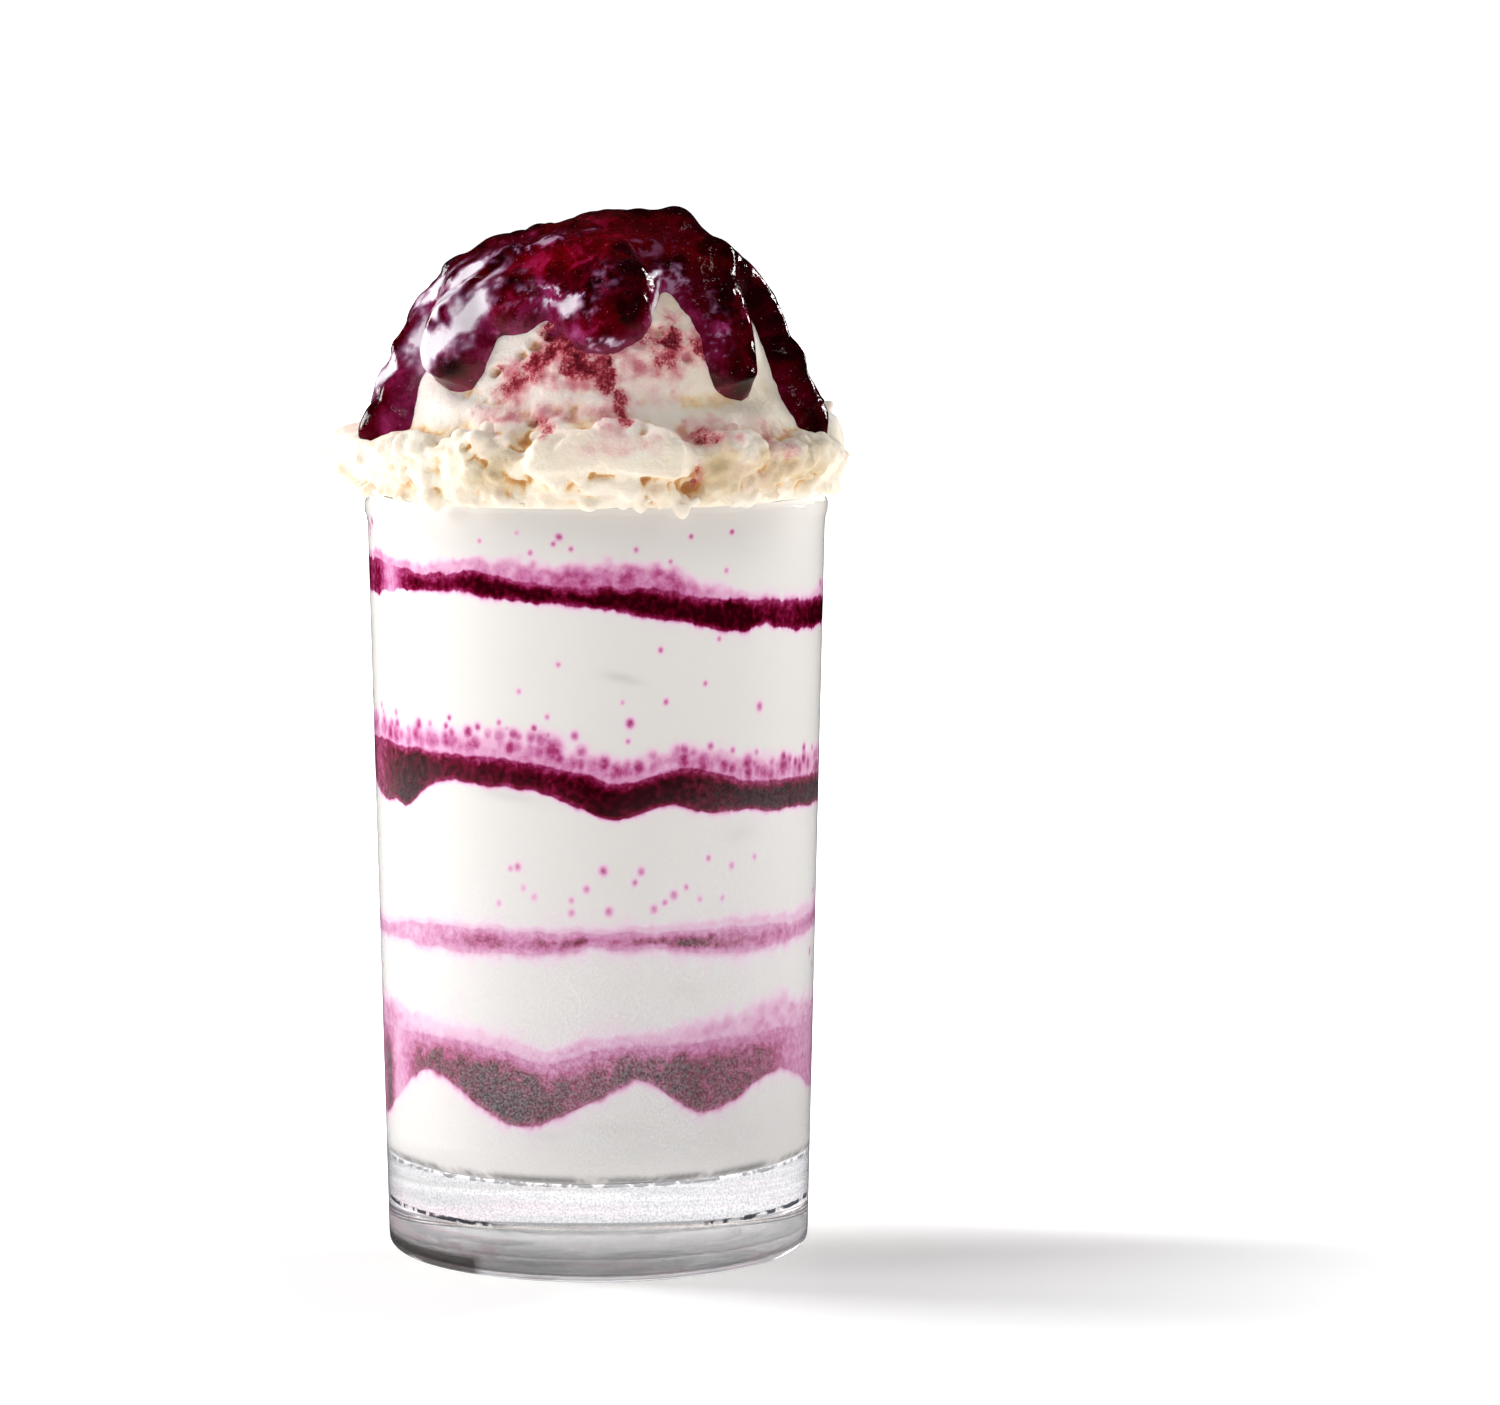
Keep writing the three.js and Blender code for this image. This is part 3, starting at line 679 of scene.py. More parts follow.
def bead_rows(base, seed):
    """Beads of juice in three uneven rows, one to six millimetres above a band, all the way round.

    Each row: from and to how high it lies, how large its beads are, and the chance of each bead."""
    random = np.random.default_rng(seed)
    at = np.arange(*ALL_ROUND, BEAD_STEP)
    at = at + random.uniform(-0.8, 0.8, len(at))
    rows = []
    for low, high, spread, chance in ((1.0, 2.3, 1.95, 0.9), (2.5, 3.8, 1.4, 0.6), (4.2, 5.8, 0.75, 0.25)):
        pick = random.random(len(at)) < chance
        a = at[pick] + random.uniform(-0.7, 0.7, pick.sum())
        lift = random.uniform(low, high, len(a)) + 0.9 * bell(turn(a + 22), 14)
        rows.append(np.stack([a, base_at(base, a) + lift, spread * random.uniform(0.7, 1.15, len(a)),
                              random.uniform(0.42, 0.62, len(a))], -1))
    return np.concatenate(rows)


# %% The stain and shade of one cream
def cream_stain(name, heights, base, edge_below, edge_above, seed):
    """The number over a cream's wall: two fading fringes, the wash, and the specks; the strongest wins."""
    place = around(WALL_INSIDE, wall_turns, heights)
    above = np.maximum(heights - base, 0)
    below_top = np.maximum(heights[-1] - heights, 0)
    up, under = FRINGES[name]
    wander = np.clip(1 + 0.6 * noise(place, 3.0, seed + 3) + 0.5 * noise(place, 1.1, seed + 4), 0.2, 2.2)
    stain = sum(0.97 * edge * np.exp(-away / (width * wander + 0.02))
                for edge, away, width in ((edge_below, above, up), (edge_above, below_top, under)))
    if WASHES[name]:
        degrees = np.degrees(wall_turns)
        reach, wash_strength = over_angle(WASHES[name], degrees, 2), over_angle(WASHES[name], degrees, 3)
        ragged = 1 + 0.22 * noise(place, 5.0, seed) + 0.22 * noise(place, 1.7, seed + 1)
        uneven = 0.86 + 0.22 * noise(place, 2.2, seed + 2)
        wash = wash_strength * (1 - step_up(0.45, 1.2, above / (reach * ragged))) * uneven
        stain = np.maximum(stain, wash)
    room = (base.mean(), heights[-1].mean())
    if name == "cream_upper":
        stain = add_specks(stain, heights, bead_rows(base, seed))
    specks = [speck for speck in NAMED_SPECKS if room[0] < speck[1] < room[1]]
    if WASHES[name]:
        specks += list(splashes(base, heights[-1], 40, seed))
    return add_specks(stain, heights, specks)


def painted_shade_and_air_slits(name, heights):
    """Where the wall looks darker: painted shade in a patchy line on the rounded floor and under the rim, and beige
    slits of air.
    """
    degrees = np.degrees(wall_turns)
    place = around(WALL_INSIDE, wall_turns, heights)
    shade = np.zeros_like(heights)
    if name == "cream_bottom":
        # Painted shade: a patchy dark line where the cream meets the rounded floor.
        patchy = np.clip(0.75 + 0.9 * noise(place, 5.0, 58) + 0.5 * noise(place, 1.0, 59), 0, 1)
        shade = 0.8 * patchy * bell(heights - FLOOR - 0.9, 0.55)
    if name == "cream_top":
        # Painted shade under the rim in front, where the scoop's skirt overhangs.
        shade = 0.22 * step_up(RIM - 14, RIM - 1, heights) * within(degrees, -38, 52, 16)
    for at, z, wide, tall, lean, strength in POCKETS.get(name, []):
        across = np.radians(turn(degrees - at)) * WALL_INSIDE
        up = heights - z + lean * across
        shade = np.maximum(shade, strength * bell(across / wide, 1) * bell(up / tall, 1))
    return shade

# %% [markdown]
# Sauce against the wall is nearly black where it is thick and wine-red where it is thin. Its edges
# are crisp below, where it lies on cream, and a little softer on top. The thin lower band is
# hardly more than a mauve stain, with dark patches.

# %% The shade of a band of sauce
# Each band: its number in the middle, at its top edge and at its foot, and how wide the edges are in mm.
SHADES = {
    "bottom": (0.88, 0.46, 0.7, 2.9, 0.8),
    "lower": (0.64, 0.4, 0.4, 1.2, 1.1),
    "middle": (1.0, 0.68, 0.74, 1.1, 0.6),
    "upper": (0.99, 0.66, 0.72, 1.0, 0.55),
}
# Places where a band is thinner and paler, or for the lower band darker, as [degrees, half width, change].
# At the left ends the paler places are partly painted reflection: light veiling the glass's side.
PATCHES = {
    "bottom": [
        (66, 9, -0.4), (84, 8, -0.4), (-69, 7, -0.52), (-86, 6, -0.3), (34, 7, -0.05), (-24, 8, 0.06),
        (-78, 2.5, 0.35), (-7, 5, -0.12), (3, 6, -0.06), (44, 6, -0.1),
    ],
    "lower": [
        (-3, 3, 0.16), (15, 5, 0.14), (25, 4, 0.24), (-60, 14, -0.24), (62, 14, -0.14), (-20, 3, -0.08),
        (8, 2, -0.12),
    ],
    "middle": [(-28, 8, -0.12), (-10, 4, -0.12), (-46, 4, -0.12), (-78, 8, -0.34), (28, 4, -0.05)],
    "upper": [
        (-60, 4, -0.24), (-67, 4, -0.52), (-47, 3, -0.2), (-40, 2.2, -0.14), (-80, 5, -0.3), (56, 4, -0.2),
        (64, 3, -0.1), (47, 2, -0.1),
    ],
}


def band_edges(name):
    """The numbers along a band's foot and top at every angle, never darker than the band is there."""
    middle, top, foot, _, _ = SHADES[name]
    degrees = np.degrees(wall_turns)
    here = middle + sum(change * bell(turn(degrees - at), wide) for at, wide, change in PATCHES[name])
    return np.minimum(foot, here), np.minimum(top, here)


def band_shade(name, heights, seed):
    """The number over a band's wall: patches and noise in the middle, falling to each edge's number."""
    middle, _, _, top_width, foot_width = SHADES[name]
    foot, top = band_edges(name)
    place = around(WALL_INSIDE, wall_turns, heights)
    degrees = np.degrees(wall_turns)
    slow = 0.6 * noise(place * [1, 1, 1.4], 7.0, seed) + 0.4 * noise(place, 2.6, seed + 1)
    fine = noise(place, 0.9, seed + 2)
    patches = sum(change * bell(turn(degrees - at), wide) for at, wide, change in PATCHES[name])
    wander = np.clip(1 + 0.5 * noise(place, 3.0, seed + 3) + 0.4 * noise(place, 1.1, seed + 4), 0.3, 2.0)
    slow_share = 0.12 if name in ("lower", "bottom") else 0.06
    fine_share = 0.07 if name == "lower" else 0.03
    value = middle + patches + slow * slow_share + fine * fine_share
    value = top + (value - top) * step_up(0, top_width * 1.6 * wander, heights[-1] - heights)
    return foot + (value - foot) * step_up(0, foot_width * 1.6 * wander, heights - heights[0])


print("shades:", SHADES)

# %% [markdown]
# Whipped cream is matt and nearly white, and lets light a little way in, which softens its edges.
# The sauce is a smooth gel pressed flat, so it is a little glossier. Both read the painted number
# through one scale of colours, from cream over pink and magenta to a wine-red that is almost
# black.

# %% Cream and sauce seen through the wall
STAIN_COLOURS = [
    (0.0, "#ebe8e3"), (0.14, "#f2dbe7"), (0.3, "#ebb6d3"), (0.46, "#cf7cac"), (0.58, "#b04579"),
    (0.74, "#780f38"), (0.87, "#520318"), (1.0, "#2c0007"),
]


def behind_glass(name, roughness, scatter):
    """A finish whose colour is read at stain x (1 + shift), and then mixed with brown-grey by the shade number:
    painted shade, and the slits of air.
    """
    finish, add = new_finish(name)
    number = add("Attribute", {"attribute_name": "stain"})
    place = add("TexCoord").outputs["Object"]
    grain = add("TexNoise", values={"Scale": 900, "Detail": 2, "Roughness": 0.6}, links={"Vector": place})
    # Air bubbles and fat grains of about a millimetre shift the stain a little either way.
    shift = add("MapRange", ends=(0.3, 0.7, -0.14, 0.14), links={0: grain})
    shifted = add("Math", "MULTIPLY_ADD", links={0: number.outputs["Fac"], 1: shift, 2: number.outputs["Fac"]})
    colour = add("ValToRGB", links={"Fac": shifted}, stops=STAIN_COLOURS)
    # Painted shade, and slits of air: the shade number mixes the colour towards brown-grey.
    shade = add("Attribute", {"attribute_name": "shade"})
    shaded = add("Mix", "RGBA", {7: linear("#4a4440")}, {0: shade.outputs["Fac"], 6: colour.outputs["Color"]})
    body = add("BsdfPrincipled",
               values={"Roughness": roughness, "Specular IOR Level": 0.0, "Subsurface Weight": scatter,
                       "Subsurface Radius": (1.0, 0.8, 0.6), "Subsurface Scale": 0.0015},
               links={"Base Color": shaded.outputs[2]})
    add("OutputMaterial", links={"Surface": body})
    return finish


cream_finish = behind_glass("whipped_cream_behind_glass", 0.55, 0.25)
sauce_finish = behind_glass("fruit_gel_behind_glass", 0.3, 0.0)

# %% [markdown]
# Now the nine plugs, from the floor of the glass up. The lowest starts on the rounded corner of
# the floor, and the highest ends level with the rim.

# %% Fill the glass
CREAMS = ["cream_bottom", "cream_lower", "cream_middle", "cream_upper", "cream_top"]
ABOVE_FLOOR, BELOW_RIM = 0.02, 0.05
level_floor = np.full(len(wall_turns), FLOOR + ABOVE_FLOOR)
level_rim = np.full(len(wall_turns), RIM - BELOW_RIM)
below = level_floor
edge_below = 0.0
for i, (cream_name, band_name) in enumerate(zip(CREAMS, [*BANDS, None])):
    top = BANDS[band_name]["under"] if band_name else level_rim
    edge_above, next_edge = band_edges(band_name) if band_name else (0.0, 0.0)
    cream, heights = plug(cream_name + "_plug", below, top)
    stain = cream_stain(cream_name, heights, below, edge_below, edge_above, 60 + 10 * i)
    paint(cream, "stain", on_wall(cream, stain))
    paint(cream, "shade", on_wall(cream, painted_shade_and_air_slits(cream_name, heights)))
    cream.data.materials.append(cream_finish)
    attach(cream, "root")
    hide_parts(cream_name)
    if band_name:
        below, edge_below = BANDS[band_name]["over"], next_edge
        sauce, heights = plug("sauce_" + band_name + "_plug", top, below)
        paint(sauce, "stain", on_wall(sauce, band_shade(band_name, heights, 65 + 10 * i)))
        sauce.data.materials.append(sauce_finish)
        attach(sauce, "root")
        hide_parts("sauce_" + band_name)

# %% [markdown]
# ## The scoop's shape
# A scoop presses ice cream into a ball and leaves a torn skirt where it breaks off. The shape is
# one profile, carried round the axis, that changes with the angle: a squarish arc for the ball, a
# neck that flares, the skirt's rounded edge, and a flat underside. `share` runs along it, 0 to 1
# down the ball, to 2 down the neck and to 3 round the skirt's edge to the rim. The joints between
# the parts are cubic curves that share their directions, so no crease shows.

# %% The scoop's profile
SCOOP_MIDDLE, BALL_WIDE, BALL_TALL, SQUARE = 141.0, 31.0, 28.2, 2.14
BALL_DEGREES = 84
BALL_TILT = np.radians(BALL_DEGREES)
SKIRT_TOP, SKIRT_MIDDLE, SKIRT_RADIUS, SKIRT_FOOT = 137.0, 134.2, 40.2, 37.4
UNDERSIDE = RIM
# How long the ball and the neck are along the profile, in mm.
BALL_SPAN, NECK_SPAN = 42.5, 13.0
A_LITTLE = 0.004


def ball_point(tilt):
    """Radius and height on a curve between an ellipse and a box, at an angle from straight up."""
    across = (np.abs(np.sin(tilt)) / BALL_WIDE) ** SQUARE
    up = (np.abs(np.cos(tilt)) / BALL_TALL) ** SQUARE
    reach = (across + up) ** (-1 / SQUARE)
    return np.stack([reach * np.sin(tilt), SCOOP_MIDDLE + reach * np.cos(tilt)], -1)


def bend(a, a_way, b, b_way, t):
    """A cubic curve from a to b that leaves along a_way and arrives along b_way."""
    t = np.clip(t, 0, 1)[..., None]
    return ((2 * t**3 - 3 * t**2 + 1) * a + (t**3 - 2 * t**2 + t) * a_way
            + (3 * t**2 - 2 * t**3) * b + (t**3 - t**2) * b_way)


def ball_end(angle):
    """How far the ball runs from straight up: less at the two sides, where the neck flares early."""
    return BALL_TILT - np.radians(16) * np.sin(angle) ** 6


def scoop_profile(angle, share):
    """Radius and height at an angle and a share of the profile."""
    angle, share = np.broadcast_arrays(angle, share)
    right = np.sin(angle)
    flank = right**6
    radius = SKIRT_RADIUS + 1.6 * right**2 - 0.1 * right
    end = ball_point(ball_end(angle))
    pull = np.stack([0.3 + 2.2 * flank, -6.5 - 2 * flank], -1)
    shoulder = np.stack([radius - 4 - 1.4 * flank, SKIRT_TOP + 1.6 * flank], -1)
    edge = np.stack([radius, SKIRT_MIDDLE - 0.8 * right], -1)
    foot = np.stack([np.full_like(radius, SKIRT_FOOT), np.full_like(radius, UNDERSIDE)], -1)
    s = share[..., None]
    return np.select(
        [s <= 1, s <= 2, s <= 2.5],
        [ball_point(ball_end(angle) * np.minimum(share, 1)),
         bend(end, pull, shoulder, np.array([6.0, -3.0]), share - 1),
         bend(shoulder, np.array([4.5, -1.0]), edge, np.array([0.0, -4.0]), (share - 2) * 2)],
        bend(edge, np.array([0.0, -5.0]), foot, np.array([-5.0, -5.0]), (share - 2.5) * 2))


def profile_frame(angle, share):
    """Radius, height and outward direction of the bare profile, by comparing it just before and after."""
    here = scoop_profile(angle, share)
    after, before = np.minimum(share + A_LITTLE, 3), np.maximum(share - A_LITTLE, 0)
    along = scoop_profile(angle, after) - scoop_profile(angle, before)
    along /= np.linalg.norm(along, axis=-1, keepdims=True)
    return here[..., 0], here[..., 1], np.stack([-along[..., 1], along[..., 0]], -1)


print("ball ends at", np.round(ball_point(BALL_TILT), 1).tolist(), "mm")

# %% [markdown]
# The skirt is torn into chunks. The ones in front are placed by name, so that they match the real
# scoop, and the rest come from a seed. Each chunk is a bell-shaped rise, and clefts part them. All
# of it but the fuller left flank is the same as in the solids, so that the two outlines agree.
# The finer crumb comes later.

# %% Chunks and clefts of the skirt
# [degrees round the scoop, height, rise, half width, half height]
CHUNKS = [
    (-66, 135, 0.4, 5, 2.6), (-47, 133, 0.7, 5, 3.6), (-27, 130.8, 1.8, 5, 3), (-28, 136, 2.1, 2.3, 1.9),
    (-12, 133.6, 1.9, 2.4, 1.8), (-2, 136, 1.8, 4.2, 1.8), (3, 131, 1.6, 7, 2.4), (16, 134.6, 2.2, 4.6, 2.6),
    (31, 130.8, 1.5, 3.2, 2.4), (36, 135.4, 1.4, 2.8, 1.9), (48, 130.6, 1, 4, 2.4), (64, 134.6, 0.5, 6, 4),
]
sequence = seeded(77)
CHUNKS += [(82 + 4.5 * i + between(sequence, -3, 3), between(sequence, 129, 138), between(sequence, -1.1, 2.0),
            between(sequence, 2.6, 5), between(sequence, 1.8, 3.4)) for i in range(44)]
# [degrees round the scoop, depth]
CLEFTS = [
    (-39, 1.3), (-17.5, 2.2), (23.5, 1.9), (43, 1.2), (-76, 0.6), (78, 0.6), (112, 1.6), (139, 1.3), (168, 1.7),
    (-164, 1.2), (-133, 1.8), (-104, 1.3),
]


def ruggedness(angle, share, r, z):
    """How far the ice cream stands out from the bare profile: a gentle roll, chunks, clefts, the left flank."""
    degrees = np.degrees(angle)
    on_skirt = bell(np.maximum(0, 2.0 - share), 0.3) * bell(np.maximum(0, share - 2.8), 0.08)
    rise = np.zeros(np.broadcast(angle, share).shape)
    for at, height, up, wide, tall in CHUNKS:
        rise = rise + up * bell(np.hypot(np.radians(turn(degrees - at)) * r / wide, (z - height) / tall), 1)
    for at, depth in CLEFTS:
        rise = rise - depth * bell(turn(degrees - at), 2.2)
    roll = 0.3 * np.sin(3 * angle + 7 * share) + 0.3 * np.sin(5 * angle - 9 * share)
    # The left flank fills out above the skirt, where the outermost tongue of sauce lies.
    shoulder = 3.0 * bell(turn(degrees + 84), 14) * bell(z - 144.0, 3.4)
    return step_up(0, 0.35, share) * roll + rise * on_skirt + shoulder


def scoop_skin(angle, share, extra=0.0):
    """Points on the ice cream's skin, standing out by an extra amount."""
    r, z, out = profile_frame(angle, share)
    outward = ruggedness(angle, share, r, z) + extra
    height = np.maximum(z + out[..., 1] * outward, UNDERSIDE)
    return around(r + out[..., 0] * outward, angle, height)


# %% [markdown]
# ## Torn, crumbly ice cream
# Tearing leaves crumbs that overhang each other. A grid pushed in and out can't overhang, so the
# scoop is made in three steps. A grid gives the large form with its lumps. Small balls, squashed
# and turned, are pressed into the skirt where it is most broken. Then a voxel remesh melts all of
# it into one even skin, half a millimetre fine, which the finest crumb can push about.

# %% Where the ice cream is torn
def puffy(points, size, seed):
    """Rounded lumps with sharp creases between them, like cauliflower: from 0 in a crease to about 1."""
    return 1.5 * np.abs(noise(points, size, seed)) ** 0.8


def crumble(degrees, height):
    """How torn the skin is, 0 to 1: the skirt, but hardly its two flanks or the smooth slab in front."""
    skirt = 1 - step_up(136.0, 139.5, height)
    flanks = within(np.abs(degrees), 62, 96, 8)
    slab = within(degrees, -13, 21, 3) * (0.1 + 0.9 * step_up(131.8, 132.8, height))
    block = 0.6 * bell(np.hypot((degrees + 38) / 9, (height - 130.5) / 3.0), 1)
    return skirt * (1 - 0.75 * flanks) * (1 - 0.5 * slab) * (1 - block)


# %% [markdown]
# The real skirt isn't crumb all over. Slabs of ice cream tore off in one piece, and the lower edge
# of a slab is a ledge that overhangs the crumb below it. Those in front are placed by name.

# %% Blocks and ledges
# Blocks, in front and then behind: [degrees, height, half width, half height, lean, rise].
BLOCKS = [
    (7, 137.2, 2.8, 1.8, 0.2, 1.3), (9, 134.7, 6.8, 2.5, -0.15, 2), (-6, 133.7, 7.2, 1.7, 0.3, 1.7),
    (2, 129.4, 12.6, 2.5, 0, 0.8), (-38, 131, 7, 4.4, -0.1, 1.5), (-46, 134.6, 3.4, 2, 0.2, 1),
    (-15, 131.6, 2.3, 2.6, 0.2, 1.2), (-17, 128.6, 2, 1.6, 0, 0.9), (29.5, 131.4, 3.6, 3.8, 0.3, 1.1),
    (37, 133.8, 3.2, 2.6, 0, 1.1), (40, 129.4, 3.6, 2.6, 0.1, 0.9), (63, 131.6, 12, 5.2, 0, 0.8),
    (-59, 131, 5, 4, 0.1, 0.7), (-73, 133, 6, 4.2, -0.1, 0.6),
]
sequence = seeded(123)
BLOCKS += [(96 + 13.5 * i + between(sequence, -3, 3), between(sequence, 129, 134), between(sequence, 4, 8),
            between(sequence, 2.4, 4.4), between(sequence, -0.3, 0.3), between(sequence, 0.8, 1.6))
           for i in range(13)]
# Ledges, as [from and to degrees, height of the lower edge at each, rise].
LEDGES = [
    (-17, 24, 132.4, 131.4, 1.5), (-50, -30, 134.4, 134.8, 0.7), (28, 46, 134.2, 133.4, 1),
    (48, 66, 132, 131.6, 0.8), (100, 130, 132, 133, 1.2), (150, 176, 133.4, 132.2, 1.3),
    (-170, -140, 132.6, 133.6, 1.2), (-122, -100, 133, 132.2, 0.9),
]

# %% [markdown]
# The large form is one grid: columns round the scoop, and rows down the profile, closer together
# on the skirt. All that raises or lowers the skin is summed for the whole grid.

# %% The grid and its broken places
columns = np.linspace(0, 2 * np.pi, 520, endpoint=False)
rows = np.concatenate([np.linspace(0.08, 0.5, 14), np.linspace(0.52, 1, 48), np.linspace(1.03, 2, 36),
                       np.linspace(2.02, 3, 52)])[::-1]
angle, share = np.meshgrid(columns, rows)
bare_r, bare_z, _ = profile_frame(angle, share)
bare = around(bare_r, angle, bare_z)
degrees = turn(np.degrees(angle))
broken = crumble(degrees, bare_z) * step_up(126.5, 128.0, bare_z)
ledges = np.zeros_like(bare_z)
for start, end, low, high, rise in LEDGES:
    edge = low + (high - low) * np.clip((degrees - start) / (end - start), 0, 1) + 0.5 * noise(bare, 3.5, 20)
    above = bare_z - edge
    overhang = step_up(-0.35, 0.45, above) * (1 - 0.8 * step_up(1.5, 5.5, above)) - 0.55 * bell(above + 1.2, 0.9)
    ledges += rise * within(degrees, start, end, 3.5) * overhang
blocks = np.zeros_like(bare_z)
ragged = 0.2 * noise(bare, 3.4, 30) + 0.16 * noise(bare, 1.5, 31)
for at, z, wide, tall, lean, rise in BLOCKS:
    x, y = np.radians(turn(degrees - at)) * bare_r, bare_z - z
    across, up = x * np.cos(lean) + y * np.sin(lean), y * np.cos(lean) - x * np.sin(lean)
    away = (np.abs(across / wide) ** 4 + np.abs(up / tall) ** 4) ** 0.25 + ragged
    blocks = np.maximum(blocks, rise * (1 - step_up(0.8, 1.04, away)))
# A groove runs under the lip of the slab in front.
groove_line = 132.0 - 0.02 * degrees - 0.6 * noise(bare, 3.0, 32)
groove = within(degrees, -13, 14, 3) * bell(bare_z - groove_line, 0.45)
blocks = (blocks - 0.5 - groove) * step_up(126.4, 127.6, bare_z) * (1 - step_up(137.5, 139.5, bare_z))

# %% Lumps, puffs and pits
lumps = 0.7 * layered_noise(bare, 6.5, 2, 21) * broken
warped = bare + np.stack([1.2 * noise(bare, 4.0, seed) for seed in (27, 28, 29)], -1)
puffs = (1.1 * puffy(warped, 4.2, 23) + 0.7 * puffy(warped, 2.2, 26) - 0.8) * broken
pits_away, pits_own = grains(bare, 3.4, 24)
pits = -1.8 * broken * (1 - step_up(0.1, 0.46, pits_away)) * (pits_own > 0.9)
# The foot of the ball in front is lumpy too, where the scoop slid.
slid = bell(bare_z - 140.5, 2.6) * within(degrees, -42, 16, 10)
slides = slid * (0.9 * noise(bare, 4.2, 25) - 0.9 * np.abs(noise(bare, 3.0, 26)) + 0.3)
gentle = 0.25 * layered_noise(bare * [1, 1, 1.5], 9.0, 3, 22) * step_up(0.5, 0.8, share)
skin = scoop_skin(angle, share, lumps + puffs + pits + gentle + ledges + slides + blocks)
under_ring = around(np.full(len(columns), SKIRT_FOOT - 6.0), columns, np.full(len(columns), UNDERSIDE))[None]
rings = np.concatenate([under_ring, skin])
scoop = ringed("scoop_ice_cream", rings, (0, 0, UNDERSIDE), (0, 0, float(skin[-1, :, 2].max()) + 0.05))
print("large form:", len(scoop.data.polygons), "faces")

# %% [markdown]
# A crumb is a small ball with a bumpy skin. One set of directions, spread over a sphere, is
# scaled, turned and moved for all crumbs at once.

# %% Bumpy balls
def ball_mesh(turns_count=14, rings_count=8):
    """Unit directions on rings from pole to pole, and the faces that join them."""
    tilt = np.linspace(0, np.pi, rings_count + 2)[1:-1]
    turn_at = np.linspace(0, 2 * np.pi, turns_count, endpoint=False)
    out, up = np.sin(tilt)[:, None], -np.cos(tilt)[:, None]
    ring = np.stack(np.broadcast_arrays(out * np.cos(turn_at), out * np.sin(turn_at), up), -1).reshape(-1, 3)
    at = np.arange(len(ring)).reshape(rings_count, turns_count)
    after = np.roll(at, -1, axis=1)
    quads = np.stack([at[:-1], after[:-1], after[1:], at[1:]], -1).reshape(-1, 4)
    low, high = len(ring), len(ring) + 1
    fans = np.concatenate([np.stack([after[0], at[0], np.full(turns_count, low)], -1),
                           np.stack([at[-1], after[-1], np.full(turns_count, high)], -1)])
    return np.concatenate([ring, [[0, 0, -1]], [[0, 0, 1]]]), quads, fans


def many_balls(name, centres, sizes, seed, bumpy=0.2):
    """Balls at the centres with three half-sizes each, turned at random, their skins moved by noise."""
    unit, quads, fans = ball_mesh()
    random = np.random.default_rng(seed)
    spin, _ = np.linalg.qr(random.normal(size=(len(centres), 3, 3)))
    spin *= np.sign(np.linalg.det(spin))[:, None, None]
    grown = unit[None] * (1 + bumpy * noise(unit[None] * 2.2 + centres[:, None], 1.0, seed))[..., None]
    placed = np.einsum("kij,knj->kni", spin, grown * sizes[:, None]) + centres[:, None]
    shift = (np.arange(len(centres)) * len(unit))[:, None, None]
    return new_piece(name, placed.reshape(-1, 3), (quads[None] + shift).reshape(-1, 4),
                     (fans[None] + shift).reshape(-1, 3))


def on_skin(degrees, height, extra=0.0):
    """The point of the scoop's skin at an angle in degrees and a height, found on a fine list of shares."""
    shares = np.linspace(0, 3, 1201)
    a = np.radians(degrees)
    z = scoop_profile(np.full(len(shares), a), shares)[:, 1]
    share = shares[np.argmax(z <= height)]
    return scoop_skin(np.array([a]), np.array([share]), extra)[0]


# %% [markdown]
# Crumbs are tried at random places, and a place keeps its crumb with a chance that grows with how
# torn it is. A ragged fringe of smaller ones hangs just outside the rim. Three larger tips in front
# and the knob that sticks up left of the middle are placed by name.

# %% Crumbs pressed into the skirt
TRIED, HANGING_FRONT, HANGING_REST = 240, 20, 50
HANGING = HANGING_FRONT + HANGING_REST
random = np.random.default_rng(31)
crumb_at = random.uniform(-180, 180, TRIED)
crumb_high = random.uniform(127.2, 139.0, TRIED)
chosen = random.random(TRIED) < 0.1 + 0.9 * crumble(crumb_at, crumb_high)
crumb_at, crumb_high = crumb_at[chosen], crumb_high[chosen]
crumb_size = random.uniform(0.8, 1.8, (len(crumb_at), 1)) * random.uniform(0.7, 1.25, (len(crumb_at), 3))
centres = np.array([on_skin(a, z, 0.05) for a, z in zip(crumb_at, crumb_high)])
hang_at = np.concatenate([random.uniform(-44, 34, HANGING_FRONT), random.uniform(34, 316, HANGING_REST)])
hanging = around(random.uniform(39.0, 39.8, HANGING), np.radians(hang_at), random.uniform(126.6, 127.8, HANGING))
hang_size = random.uniform(0.6, 1.2, (HANGING, 1)) * random.uniform(0.8, 1.25, (HANGING, 3))
tips = around(np.array([39.6, 39.4, 39.6]), np.radians([20.0, -42.0, -2.0]), np.array([126.4, 127.0, 126.6]))
tip_size = np.array([[2.6, 1.3, 1.6], [2.6, 1.3, 1.5], [1.8, 1.0, 0.9]])
knob = around(np.array(41.4), np.radians(-27.5), np.array(136.9))
centres = np.concatenate([centres, hanging, tips, [knob]])
sizes = np.concatenate([crumb_size, hang_size, tip_size, [[2.0, 2.0, 1.9]]])
crumbs = many_balls("crumbs", centres, sizes, 33)
print("crumbs:", len(centres))

# %% [markdown]
# The remesh fills the shape with small cubes of space and draws a new skin round the filled ones.
# What was two overlapping skins becomes one, with soft joints. A light smoothing takes away the
# steps that the cubes leave.

